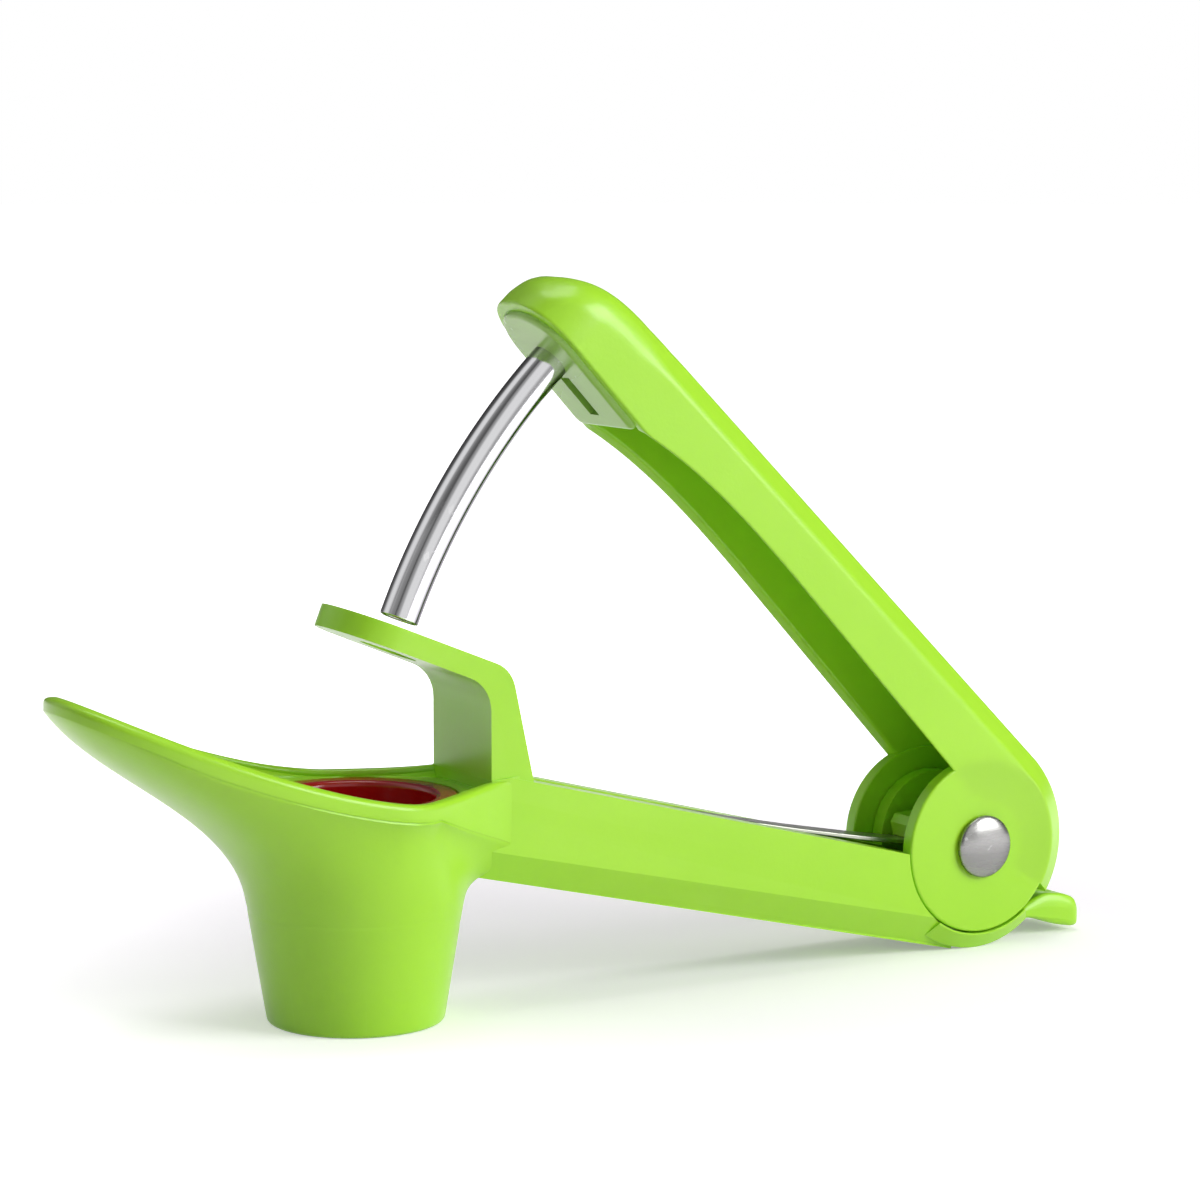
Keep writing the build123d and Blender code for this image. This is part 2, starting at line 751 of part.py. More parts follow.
with BuildPart() as pin_cap:
    with BuildSketch(Plane(origin=hinge + Vector(0, pin_face, 0), x_dir=(1, 0, 0), z_dir=(0, 0, 1))):
        with BuildLine():
            head_profile(0.02, 1)
        make_face()
    revolve(axis=hinge_axis)
    with BuildSketch(Plane(origin=hinge, x_dir=(1, 0, 0), z_dir=(0, 1, 0))):
        Circle(pin_spigot_radius + 0.02)
    extrude(amount=pin_face + pin_spigot + 0.05, mode=Mode.SUBTRACT)

# Flat spring: straight in its pocket, then bent up towards the hinge
strip_front = arch_leg_back - strip_pocket + running_gap
strip_back = hinge_reach - strip_end


def strip_top(x):
    """Height of the spring's upper face at x from the cup's axis."""
    run = max(0.0, (x - strip_bend) / (strip_back - strip_bend))
    return handle_top(x) - strip_recess + strip_rise * run * run


with BuildPart() as leaf_spring:
    with BuildSketch(side):
        with BuildLine():
            upper = [(x, strip_top(x)) for x in (strip_bend, strip_bend + 20, strip_bend + 42, strip_back)]
            lower = [(x, z - strip_thickness) for x, z in reversed(upper)]
            slope = -tan(radians(handle_top_angle))
            end_slope = slope + 2 * strip_rise / (strip_back - strip_bend)
            Spline(*upper, tangents=((1, slope), (1, end_slope)))
            Line(upper[-1], lower[0])
            Spline(*lower, tangents=((-1, -end_slope), (-1, -slope)))
            Polyline(
                lower[-1],
                (strip_front, strip_top(strip_front) - strip_thickness),
                (strip_front, strip_top(strip_front)),
                upper[0],
            )
        make_face()
    extrude(amount=strip_width / 2, both=True)

# Lock: a bar with a catch for the lever's rib, and a paddle outside
# The paddle's top slopes, so that it passes under the lever's ears and shell when it is pushed in
bar_floor = lock_height - hinge_radius
with BuildPart() as lock_slide:
    with BuildSketch(hinge_side):
        with BuildLine():
            Polyline(
                (catch_front, bar_floor),
                (catch_front, lock_engage - rib_outer),
                (catch_back, lock_engage - rib_outer),
                (catch_back, bar_floor + lock_bar),
                (paddle_root + 5.0, bar_floor + lock_bar),
                (paddle_root + 5.0, bar_floor),
                (catch_front, bar_floor),
            )
        make_face()
    extrude(amount=lock_bar_half_width, both=True)
    with BuildSketch(hinge_side):
        with BuildLine():
            Polyline(
                (paddle_reach - 2.4, paddle_foot - hinge_radius),
                (paddle_root + 4.4, bar_floor),
                (paddle_root + 2.0, bar_floor),
                (paddle_root + 2.0, bar_floor + 0.8),
                (paddle_root + 10.6, paddle_top - 0.1 - hinge_radius),
            )
            Polyline(
                (paddle_root + 10.6, paddle_top - 0.1 - hinge_radius),
                (paddle_reach - 2.6, paddle_top - 0.9 - hinge_radius),
                (paddle_reach - 0.8, paddle_top - 2.6 - hinge_radius),
                (paddle_reach, (paddle_top + paddle_foot) / 2 - 0.6 - hinge_radius),
                (paddle_reach - 0.8, paddle_foot + 0.8 - hinge_radius),
                (paddle_reach - 2.4, paddle_foot - hinge_radius),
            )
        make_face()
    extrude(amount=paddle_half_width, both=True)
    with BuildSketch(Plane.XY):
        with Locations((hinge_x + paddle_reach - paddle_round, 0)):
            Ellipse(paddle_round, paddle_half_width)
        with Locations((hinge_x + paddle_reach - paddle_round, 0)):
            Rectangle(overall_length, 2 * paddle_half_width, align=(Align.MAX, Align.CENTER))
    extrude(amount=hinge_radius, mode=Mode.INTERSECT)

os.makedirs("parts", exist_ok=True)
body.part.label = "body"
export_step(body.part, "parts/body.step")
lever.part.label = "lever"
export_step(lever.part, "parts/lever.step")
punch_tube.part.label = "punch_tube"
export_step(punch_tube.part, "parts/punch_tube.step")
punch_holder.part.label = "punch_holder"
export_step(punch_holder.part, "parts/punch_holder.step")
cup_liner.part.label = "cup_liner"
export_step(cup_liner.part, "parts/cup_liner.step")
hinge_pin.part.label = "hinge_pin"
export_step(hinge_pin.part, "parts/hinge_pin.step")
pin_cap.part.label = "pin_cap"
export_step(pin_cap.part, "parts/pin_cap.step")
leaf_spring.part.label = "leaf_spring"
export_step(leaf_spring.part, "parts/leaf_spring.step")
lock_slide.part.label = "lock_slide"
export_step(lock_slide.part, "parts/lock_slide.step")
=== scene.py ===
# %% [markdown]
# # A cherry pitter, dressed for its portrait
#
# The tool is a squeeze lever: a spoon tray with a cup below it, an arch that guides the punch, and a hinged
# upper handle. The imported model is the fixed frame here, and it carries every size. This lesson sets the
# camera and the light, gives the mouldings their soft shapes, and mixes each finish as a node material.

from math import cos, radians, sin

import bmesh
import bpy
import numpy as np
from mathutils import Matrix, Vector


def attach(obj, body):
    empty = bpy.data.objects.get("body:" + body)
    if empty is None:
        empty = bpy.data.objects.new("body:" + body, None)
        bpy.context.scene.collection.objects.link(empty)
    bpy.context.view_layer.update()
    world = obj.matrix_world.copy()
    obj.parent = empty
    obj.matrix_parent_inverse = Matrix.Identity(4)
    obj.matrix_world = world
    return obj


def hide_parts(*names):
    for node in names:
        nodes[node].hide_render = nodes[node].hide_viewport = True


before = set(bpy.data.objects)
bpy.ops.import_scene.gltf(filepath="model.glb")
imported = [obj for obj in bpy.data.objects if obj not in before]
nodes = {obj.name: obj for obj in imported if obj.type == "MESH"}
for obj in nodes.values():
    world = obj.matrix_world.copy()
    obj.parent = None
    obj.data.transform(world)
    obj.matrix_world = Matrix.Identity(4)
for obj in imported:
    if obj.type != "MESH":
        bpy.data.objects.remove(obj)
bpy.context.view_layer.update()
MM = 0.001

# %% [markdown]
# ## Where things are
#
# The surfaces below need a few places of the tool: the cup's axis, the hinge, and the directions of the open
# lever. They are in millimetres, and a surface is turned into metres only when its mesh is made.

# %% Places on the tool
CUP_X = -44.3
HINGE = np.array([70.5, 0.0, 17.9])
ACROSS = np.array([0.0, 1.0, 0.0])
LEVER_ANGLE = radians(47.0)
ALONG_LEVER = np.array([-cos(LEVER_ANGLE), 0.0, sin(LEVER_ANGLE)])
OVER_LEVER = np.array([sin(LEVER_ANGLE), 0.0, cos(LEVER_ANGLE)])
HALF_WIDTH = 9.8
print("hinge", HINGE, "cup axis", CUP_X)

# %% [markdown]
# ## The camera
#
# The photograph was taken from a little above the table, in front of the cup and to its left, with a long
# lens. The lens is given for a 36 mm wide picture, and the three directions make the camera's turn.

# %% Set the camera
camera_data = bpy.data.cameras.new("portrait_camera")
camera_data.sensor_width = 36.0
camera_data.lens = 114.7
camera_data.clip_start = 0.01
camera = bpy.data.objects.new("portrait_camera", camera_data)
bpy.context.scene.collection.objects.link(camera)
look = Vector((0.51224, 0.84985, -0.12398)).normalized()
right = look.cross(Vector((0, 0, 1))).normalized()
rise = right.cross(look)
eye = (-0.31538, -0.52411, 0.13993)
camera.matrix_world = Matrix(
    [(right[i], rise[i], -look[i], eye[i]) for i in range(3)] + [(0, 0, 0, 1)]
)
bpy.context.scene.camera = camera

# %% [markdown]
# ## From a grid of numbers to a mesh
#
# Every surface in this lesson is a grid: one closed loop of points for each station along a path. The helper
# joins neighbours with quads. If the path comes back to its start, the last station is joined to the first,
# and if not, both end loops get a flat face. The sign of the enclosed volume says whether the faces point
# outwards, and turns them if they don't, so no later recalculation is needed.

# %% Mesh from closed loops
def loops_to_mesh(name, shells):
    """One mesh from several closed shells, each given as (grid, ring).

    grid[i, j] is point j of the loop at station i, in millimetres. A shell's faces are turned outwards by the
    sign of its volume, the sum of a . (b x c) over its triangles, measured from its middle.
    """
    points, corners, sizes, first = [], [], [], 0
    for grid, ring in shells:
        rows, columns = grid.shape[:2]
        index = np.arange(rows * columns).reshape(rows, columns)
        here = index if ring else index[:-1]
        there = np.roll(index, -1, 0) if ring else index[1:]
        quads = np.stack([here, np.roll(here, -1, 1), np.roll(there, -1, 1), there], -1).reshape(-1, 4)
        flat = grid.reshape(-1, 3)
        a, b, c, d = ((flat - flat.mean(0))[quads[:, k]] for k in range(4))
        volume = np.sum(a * np.cross(b, c)) + np.sum(a * np.cross(c, d))
        patches = [quads] if ring else [quads, index[:1, ::-1], index[-1:]]
        for patch in patches:
            turned = patch[:, ::-1] if volume < 0 else patch
            corners.append(turned.reshape(-1) + first)
            sizes.append(np.full(len(patch), patch.shape[1]))
        points.append(flat)
        first += len(flat)
    points, corners, sizes = (np.concatenate(part) for part in (points, corners, sizes))
    mesh = bpy.data.meshes.new(name)
    mesh.vertices.add(len(points))
    mesh.vertices.foreach_set("co", (points * MM).astype(np.float32).reshape(-1))
    mesh.loops.add(len(corners))
    mesh.loops.foreach_set("vertex_index", corners.astype(np.int32))
    mesh.polygons.add(len(sizes))
    mesh.polygons.foreach_set("loop_start", (np.cumsum(sizes) - sizes).astype(np.int32))
    mesh.update(calc_edges=True)
    mesh.validate()
    return mesh


def put(name, mesh, body, crease=35.0):
    """Show a mesh as a piece that rides on a body, smooth except over creases, with flats kept flat."""
    piece = bpy.data.objects.new(name, mesh)
    bpy.context.scene.collection.objects.link(piece)
    mesh.polygons.foreach_set("use_smooth", np.ones(len(mesh.polygons), bool))
    mesh.set_sharp_from_angle(angle=radians(crease))
    flats = piece.modifiers.new("keep_flats_flat", "WEIGHTED_NORMAL")
    flats.keep_sharp = True
    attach(piece, body)
    print(name, "points", len(mesh.vertices), "faces", len(mesh.polygons))
    return piece


# %% [markdown]
# ## Rounded corners for whole families of loops
#
# A moulding has no sharp corners. A section is drawn with a few corner points, and this helper rounds them
# all at once, for every station along the path, with a short curve at each corner.

# %% Round the corners of loops
def round_corners(corners, reach, steps=5):
    """Closed polygons with their corners rounded.

    corners is (stations, corners, axes) and reach is how far each corner P is cut back along its two edges,
    at most 0.48 of the shorter one. From cut A to cut B the corner is (1-t)^2 A + 2 t (1-t) P + t^2 B.
    """
    back = np.roll(corners, 1, 1) - corners
    ahead = np.roll(corners, -1, 1) - corners
    back_length = np.linalg.norm(back, axis=-1, keepdims=True) + 1e-9
    ahead_length = np.linalg.norm(ahead, axis=-1, keepdims=True) + 1e-9
    reach = np.broadcast_to(reach, corners.shape[:2])[..., None]
    cut = np.minimum(reach, 0.48 * np.minimum(back_length, ahead_length))
    start = (corners + back / back_length * cut)[:, :, None]
    end = (corners + ahead / ahead_length * cut)[:, :, None]
    t = np.linspace(0, 1, steps)[None, None, :, None]
    curve = (1 - t) ** 2 * start + 2 * t * (1 - t) * corners[:, :, None] + t**2 * end
    return curve.reshape(len(corners), -1, corners.shape[-1])


def ease(x, start, end):
    """0 before start, 1 after end, and 3s^2 - 2s^3 between, where s is the share of the way."""
    s = np.clip((x - start) / (end - start), 0, 1)
    return s * s * (3 - 2 * s)


def bezier(a, b, c, d, steps):
    """Cubic curves from a to d, pulled by b and c: (stations, steps, axes), both ends included."""
    t = np.linspace(0, 1, steps)[None, :, None]
    a, b, c, d = (p[:, None] for p in (a, b, c, d))
    return (1 - t) ** 3 * a + 3 * t * (1 - t) ** 2 * b + 3 * t * t * (1 - t) * c + t**3 * d


# %% [markdown]
# ## The spoon tray and its cup
#
# On the real tool the tray and the cup are one skin of plastic. The cup's cone flares out into the underside
# of the tray with no edge, and the tray ends in a thin rounded lip. It could be lofted from cross sections,
# but then the round mouth and the pointed tip both end badly. Here every station is a half section through
# the cup's axis instead, and the stations turn once round it. Each half section runs from the foot up the
# cone, along the flare, over the lip, down the dish and through the mouth back to the foot. So the grid
# closes in both directions and has no pole.

# %% Outline of the tray
TRAY_REACH = 50.66
TRAY_HALF = 21.1
TRAY_WIDEST = -5.2
TRAY_POWER = 2.2
WAIST_START = -3.0
WAIST_SUNK = 0.4
TRAY_END = 26.0
SEAM_X = TRAY_END - 0.6
RIM_HEIGHT = 36.75
RIM_LEVEL_TO = 4.0
TIP_RISE = 18.0
HANDLE_RISE = 1.2
DECK = 35.8


def tray_half_width(x):
    """Plan: (1 - t^2.2)^(1/2.2) from the widest place to the tip, and an eased waist to the handle."""
    front = np.clip((TRAY_WIDEST - x) / (TRAY_REACH + TRAY_WIDEST), 0, 1)
    bowl = TRAY_HALF * (1 - front**TRAY_POWER) ** (1 / TRAY_POWER)
    return bowl - (TRAY_HALF - HALF_WIDTH + WAIST_SUNK) * ease(x, WAIST_START, TRAY_END)


def rim_height(x):
    """Level round the cup. It rises with the 1.5th power of the distance towards the tip, and with the square
    towards the handle."""
    to_tip = np.clip((RIM_LEVEL_TO - x) / (RIM_LEVEL_TO + TRAY_REACH), 0, 1)
    to_handle = np.clip((x - RIM_LEVEL_TO) / (TRAY_END - RIM_LEVEL_TO), 0, 1)
    return RIM_HEIGHT + TIP_RISE * to_tip**1.5 + HANDLE_RISE * to_handle**2


turn = np.radians(np.arange(0, 360, 1.5))
slow_start = 1 - np.cos(np.linspace(0, np.pi / 2, 300))
bowl_x = -TRAY_REACH + (TRAY_REACH + TRAY_WIDEST) * slow_start
outline_x = np.concatenate([bowl_x, np.linspace(TRAY_WIDEST, SEAM_X, 200)[1:]])
outline_y = tray_half_width(outline_x)
outline_angle = np.arctan2(outline_y, outline_x)[::-1]
from_handle = np.abs(np.abs(turn - np.pi) - np.pi)
inside_handle = from_handle < outline_angle[0]
straight_end = SEAM_X / np.cos(np.where(inside_handle, from_handle, 0))
rim_reach = np.interp(from_handle, outline_angle, np.hypot(outline_x, outline_y)[::-1])
rim_reach = np.where(inside_handle, straight_end, rim_reach)
rim_x = rim_reach * np.cos(turn)
print("tray reach", rim_reach.max(), "half width", np.abs(rim_reach * np.sin(turn)).max())

# %% Half sections of the tray and cup
CUP_FOOT = 13.95
CUP_TAPER = 0.165
CUP_WALL = 2.3
CONE_BEND = 1.8
LIP = 2.3
BOWL_LIP = 3.0
BAND_DEEPENS_FROM, BAND_SLOPE = 5.5, 0.43
RIM_WIDTH = 2.1
FLARE_HEIGHT, FLARE_DROP = 19.5, 3.0
FULL_OVERHANG = 33.0
LAND = 17.4
LEDGE_RADIUS, LEDGE_HEIGHT = 16.45, 34.2
BORE_RADIUS, BORE_FOOT = 14.2, 30.9
INNER_CONE_TOP = 28.5


def pair(radius, height):
    """Points (radius, height), one for each station."""
    return np.stack(np.broadcast_arrays(radius, height, rim_x)[:2], -1).astype(float)


def band_height(x):
    """Side of the tray below its rim: 2.3 at the tip, 3 along the bowl, then deeper by 0.43 per millimetre
    until it is as deep as the handle's side."""
    deeper = BAND_SLOPE * np.clip(x - BAND_DEEPENS_FROM, 0, None)
    return LIP + (BOWL_LIP - LIP) * ease(x, -48, -30) + deeper


def tray_sections():
    """Half sections, as (radius from the cup's axis, height). The flare and the dish are cubic curves whose
    handles grow with the overhang of the tray beyond the cup."""
    top = rim_height(rim_x) - 0.3 * ease(rim_x, 20, 25)
    near_handle = 1 - ease(from_handle, radians(28), radians(75))
    flare_height = FLARE_HEIGHT - FLARE_DROP * near_handle
    cone = CUP_FOOT + CUP_TAPER * flare_height
    overhang = np.clip((rim_reach - cone) / FULL_OVERHANG, 0, 1.1)
    flare_foot = pair(cone, flare_height)
    flare_pull = 4.6 + 10.0 * overhang
    flare_end = pair(rim_reach - 0.15, top - band_height(rim_x))
    outside = bezier(
        flare_foot,
        flare_foot + pair(CUP_TAPER * flare_pull, flare_pull),
        flare_end - pair(2.2 + 6.3 * overhang, 2.2 + 9.7 * overhang),
        flare_end,
        34,
    )
    rim_inside = rim_reach - RIM_WIDTH
    lip = [
        pair(rim_reach - 0.1, top - band_height(rim_x) + 0.25),
        pair(rim_reach, top - LIP + 0.2),
        pair(rim_reach, top),
        pair(rim_inside, top),
        pair(rim_inside - 0.25, top - 0.9),
    ]
    lip = round_corners(np.stack(lip, 1), np.array([[0.2, 0.3, 1.0, 0.95, 0.5]]), 6)
    dish_start = pair(rim_inside - 0.35, top - 1.0)
    dish_end = pair(np.minimum(LAND, rim_inside - 0.6), DECK)
    inside = bezier(
        dish_start,
        dish_start - pair(0.2 + 4.6 * overhang, 0.2 + 6.8 * overhang),
        dish_end + pair(0.2 + 12.5 * overhang, 0.05 + 0.7 * overhang),
        dish_end,
        24,
    )
    mouth = [
        pair(LEDGE_RADIUS, DECK),
        pair(LEDGE_RADIUS, LEDGE_HEIGHT),
        pair(BORE_RADIUS, LEDGE_HEIGHT),
        pair(BORE_RADIUS, BORE_FOOT),
        pair(CUP_FOOT + CUP_TAPER * INNER_CONE_TOP - CUP_WALL - 1.0, INNER_CONE_TOP),
        pair(CUP_FOOT - CUP_WALL, 0.0),
        pair(CUP_FOOT, 0.0),
        pair(cone - CUP_TAPER * CONE_BEND, flare_height - CONE_BEND),
    ]
    mouth_reach = np.array([[0.25, 0.1, 0.3, 0.1, 0.5, 0.5, 0.8, 0.4]])
    mouth = round_corners(np.stack(mouth, 1), mouth_reach, 5)
    return np.concatenate([outside, lip, inside, mouth], 1)


def turned_about_cup(profile, angle):
    """Profiles (radius, height), one for each angle, stood round the cup's axis."""
    radius, height = profile[..., 0], profile[..., 1]
    return np.stack(
        [CUP_X + radius * np.cos(angle)[:, None], radius * np.sin(angle)[:, None], height], -1
    )


tray_grid = turned_about_cup(tray_sections(), turn)
tray_and_cup = put("tray_and_cup", loops_to_mesh("tray_and_cup", [(tray_grid, True)]), "base", 50)

# %% [markdown]
# ## The handle bar with its guide arch
#
# The lower handle, its chamfers, the trough, the arch and the hinge cradle are flat-sided and already right
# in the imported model. A copy of it is welded, the parts that the new skin stands for are cut away with plain
# blocks and a drum, and every edge gets the small radius that a mould has.

# %% Helpers for a softened copy
def hidden_cutter(name, grid):
    """An object for one closed shell, which is only used to cut."""
    cutter = bpy.data.objects.new(name, loops_to_mesh(name, [(grid, False)]))
    bpy.context.scene.collection.objects.link(cutter)
    return cutter


def prism(name, outline, low, high):
    """A cutter: a closed outline of (x, y), carried up from low to high."""
    outline = np.asarray(outline, float)
    heights = np.broadcast_to(np.array([low, high])[:, None, None], (2, len(outline), 1))
    return hidden_cutter(name, np.concatenate([np.stack([outline, outline]), heights], -1))


def block(name, x, y, z):
    """A cutter with six faces between three pairs of numbers."""
    return prism(name, [(x[0], y[0]), (x[1], y[0]), (x[1], y[1]), (x[0], y[1])], *z)


def clean_mesh(mesh, distance, flatten):
    """Merge points closer than the distance, in metres. To flatten, join faces that lie within a degree."""
    work = bmesh.new()
    work.from_mesh(mesh)
    bmesh.ops.remove_doubles(work, verts=work.verts, dist=distance)
    if flatten:
        bmesh.ops.dissolve_limit(
            work, angle_limit=radians(1.0), verts=work.verts, edges=work.edges, delimit={"NORMAL"}
        )
    work.to_mesh(mesh)
    work.free()


def welded_copy(name, source, cutters=()):
    """A node's mesh, or a mesh made here, welded, minus the cutters, and with its flat triangles joined."""
    mesh = nodes[source].data.copy() if isinstance(source, str) else source
    mesh.name = name
    mesh.materials.clear()
    clean_mesh(mesh, 2e-6, False)
    if cutters:
        piece = bpy.data.objects.new(name, mesh)
        bpy.context.scene.collection.objects.link(piece)
        for cutter in cutters:
            cut = piece.modifiers.new(cutter.name, "BOOLEAN")
            cut.operation, cut.solver, cut.object = "DIFFERENCE", "EXACT", cutter
        bpy.context.view_layer.update()
        evaluated = piece.evaluated_get(bpy.context.evaluated_depsgraph_get())
        mesh = bpy.data.meshes.new_from_object(evaluated)
        for helper in (piece, *cutters):
            bpy.data.objects.remove(helper)
    clean_mesh(mesh, 4e-6, True)
    mesh.name = name
    return mesh


def soften(piece, width, segments):
    """A bevel of a given width in millimetres on every edge sharper than 28 degrees."""
    bevel = piece.modifiers.new("moulded_edges", "BEVEL")
    bevel.width = width * MM
    bevel.segments = segments
    bevel.limit_method = "ANGLE"
    bevel.angle_limit = radians(28)
    bevel.use_clamp_overlap = True
    bevel.harden_normals = False
    piece.modifiers.move(len(piece.modifiers) - 1, 0)


# %% Handle, arch and cradle
DRUM_RADIUS = 17.8
WINGS = (CUP_X + 10, CUP_X + 25.5)
FACE = HALF_WIDTH + 0.01
around = np.linspace(0, 2 * np.pi, 96, endpoint=False)
drum_outline = np.stack([CUP_X + DRUM_RADIUS * np.cos(around), DRUM_RADIUS * np.sin(around)], -1)
away = [
    block("tray_tip_block", (CUP_X - 70, CUP_X - 12), (-40, 40), (-5, 60)),
    block("tray_block", (CUP_X - 12.5, CUP_X + 12), (-40, 40), (-5, 45)),
    prism("cup_drum", drum_outline, -1.0, 45.0),
    block("left_wing_block", WINGS, (FACE, 40), (-5, 45)),
    block("right_wing_block", WINGS, (-40, -FACE), (-5, 45)),
    block("land_block", (CUP_X + 10, CUP_X + 19.25), (-12, 12), (34.9, 45)),
]
handle = put("handle_and_arch", welded_copy("handle_and_arch", "body", away), "base", 28)
soften(handle, 0.55, 3)
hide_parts("body")
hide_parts("body")

# %% [markdown]
# ## The lever
#
# The upper handle is a channel with chamfered shoulders. It runs straight from a spoon-shaped nose to the
# hinge and then wraps round it. One closed section is carried all the way: outside wall, chamfer, flat top
# and back again, then the inside. The nose closes because its height and its width follow two round curves
# that end at the same place.

# %% Stations of the lever
NOSE = 127.9
NOSE_ROUND = 0.7
NOSE_FRONT = 4.2
NOSE_START = 103.8
PLAN_START = 117.0
PLAN_POWER = 2.3
HEAD_EDGE = 0.6
HEAD_REAR = 96.0
SWEEP_START, SWEEP_RUN, SWEPT_EDGE = 50.0, 48.5, 4.6
EAR_SWEEP = 3.4
TOP_RADIUS = 19.0
TOP_TAPER = radians(2.7)
TOP_AT_HINGE = TOP_RADIUS / cos(TOP_TAPER)
NOSE_HEIGHT = TOP_AT_HINGE - NOSE_START * np.tan(TOP_TAPER)
ROUND_END = 1e-6

nose_part = NOSE - (NOSE - HEAD_REAR) * (1 - np.cos(np.linspace(0, np.pi / 2, 90)))
straight_part = np.linspace(HEAD_REAR, 0.0, 70)[1:]
wrap_part = np.radians(np.linspace(0, 75, 60)[1:])
along = np.concatenate([nose_part, straight_part, np.zeros(len(wrap_part))])
wrap = np.concatenate([np.zeros(len(nose_part) + len(straight_part)), wrap_part])


def arch_of(u, start, run, power=2.0):
    """1 before start, then a superellipse (1 - ((u - start) / run)^n)^(1/n) down to 0."""
    share = np.clip(u - start, 0, None) / run
    return np.clip(1 - share**power, ROUND_END, 1) ** (1 / power)


def lever_top(u):
    """Straight taper up to the nose, then (1 - share^3)^0.58 of the height above the nose's blunt front."""
    share = np.clip((u - NOSE_START) / (NOSE - NOSE_START), 0, 1)
    nose_top = NOSE_FRONT + (NOSE_HEIGHT - NOSE_FRONT) * np.clip(1 - share**3, ROUND_END, 1) ** 0.58
    return np.where(u < NOSE_START, TOP_AT_HINGE - u * np.tan(TOP_TAPER), nose_top)


def lever_low(u):
    """Underside of the head 0.6 up, rounded up at the nose by a quarter circle of 0.7, swept up behind the
    head to 4.6 by 4 (1 - share^3.4), and up into the ears at the hinge."""
    to_tip = np.clip((u - NOSE) / NOSE_ROUND + 1, 0, 1)
    rounded = NOSE_ROUND * (1 - np.sqrt(1 - to_tip**2))
    swept = (SWEPT_EDGE - HEAD_EDGE) * (1 - np.clip((u - SWEEP_START) / SWEEP_RUN, 0, 1) ** 3.4)
    return HEAD_EDGE + rounded + swept + EAR_SWEEP * (1 - ease(u, 0.0, 9.0))


def lever_frame(u, turned):
    """Origin and outward direction of each station: along the lever, then turned about the hinge."""
    angle = np.pi / 2 - LEVER_ANGLE - turned
    out = np.stack([np.cos(angle), np.zeros_like(angle), np.sin(angle)], -1)
    return HINGE + u[:, None] * ALONG_LEVER, out


# %% Walls of the lever
SHOULDER_DOWN, SHOULDER_IN = 4.1, 2.9
SIDE_WALL, HEAD_WALL, TOP_WALL = 2.0, 2.0, 2.7
EDGE_SLOPE = 0.9
EAR_BLEND = 14.1
LEAST = 0.01
half = HALF_WIDTH * arch_of(along, PLAN_START, NOSE - PLAN_START, PLAN_POWER)
top = np.where(wrap > 0, TOP_RADIUS, lever_top(along))
low = lever_low(along)
shoulder_down = np.minimum(SHOULDER_DOWN, 0.5 * (top - low))
shoulder_in = np.minimum(SHOULDER_IN, 0.5 * half)
in_head = ease(along, 98.0, 100.0)
inner_nose = NOSE - TOP_WALL
inner_plan = (HALF_WIDTH - SIDE_WALL) * arch_of(along, PLAN_START, inner_nose - PLAN_START)
inner_arch = (NOSE_HEIGHT - HEAD_WALL) * arch_of(along, NOSE_START, inner_nose - NOSE_START)
inner_half = np.where(along < PLAN_START, half - SIDE_WALL, inner_plan)
inner_top = np.where(along < NOSE_START, top - TOP_WALL + (TOP_WALL - HEAD_WALL) * in_head, inner_arch)
inner_half = np.maximum(np.minimum(inner_half, half - LEAST), LEAST)
inner_top = np.maximum(np.minimum(inner_top, top - 2 * LEAST), low + LEAST)
inner_low = np.minimum(low + EDGE_SLOPE * (1 - in_head), inner_top - LEAST)
ear_meet = np.where(wrap > 0, EAR_BLEND, np.sqrt(np.clip(EAR_BLEND**2 - along**2, 0, None)))
ear_meet = np.maximum(ear_meet, low + 0.35 * (top - shoulder_down - low))
sunk = 0.06 * (1 - ease(along, 11.0, 15.0))

# %% Section of the lever
steady = np.ones_like(along)
nose_soft = 1.0 + 5.0 * ease(along, 100.0, 126.0)
outer_side = [
    (half - sunk, low, 0.5 * steady),
    (half, ear_meet, 0.4 * steady),
    (half, top - shoulder_down, nose_soft),
    (half - shoulder_in, top, nose_soft),
]
inner_side = [(inner_half, inner_top, steady), (inner_half, inner_low, 0.5 * steady)]


def lever_section():
    """Corners (across, out) of each section, and how far each is rounded: up one wall, down the other and
    back inside. The low corner sinks 0.06 behind the ear's face, and behind the head the wall's lower edge
    slopes up inwards by 0.9."""
    left_side = [(-across, out, soft) for across, out, soft in (outer_side[::-1] + inner_side[::-1])]
    ring = outer_side + left_side + inner_side
    corners = np.stack([np.stack([across, out], -1) for across, out, soft in ring], 1)
    return corners, np.stack([soft for across, out, soft in ring], 1)


section = round_corners(*lever_section(), 6)
origin, out = lever_frame(along, wrap)
lever_grid = origin[:, None] + section[..., :1] * ACROSS + section[..., 1:] * out[:, None]
print("lever stations", lever_grid.shape)


# %% Helpers for rings and side views
def ring_shell(radii, across_at, count=128):
    """A profile (radius, place across the tool), carried once round the hinge's axis."""
    angle = np.linspace(0, 2 * np.pi, count, endpoint=False)
    spoke = np.stack([np.cos(angle), np.zeros(count), -np.sin(angle)], -1)
    profile = np.stack([radii, across_at], -1)[None]
    return HINGE + profile[..., :1] * spoke[:, None] + profile[..., 1:] * ACROSS


def rounded_profile(corners, reach):
    """One closed profile with rounded corners, as two arrays."""
    soft = round_corners(np.array([corners], float), np.array([reach], float), 6)[0]
    return soft[:, 0], soft[:, 1]


def side_prism(points, half_across):
    """Side view points (x, z) from the hinge, carried across the tool by the half width to each side."""
    points = np.asarray(points, float)
    flat = np.stack([HINGE[0] + points[:, 0], np.zeros(len(points)), HINGE[2] + points[:, 1]], -1)
    return np.stack([flat - half_across * ACROSS, flat + half_across * ACROSS])


def polar(degrees, radius):
    """Side view point (x, z) from the hinge, at an angle up from +X."""
    return (radius * cos(radians(degrees)), radius * sin(radians(degrees)))


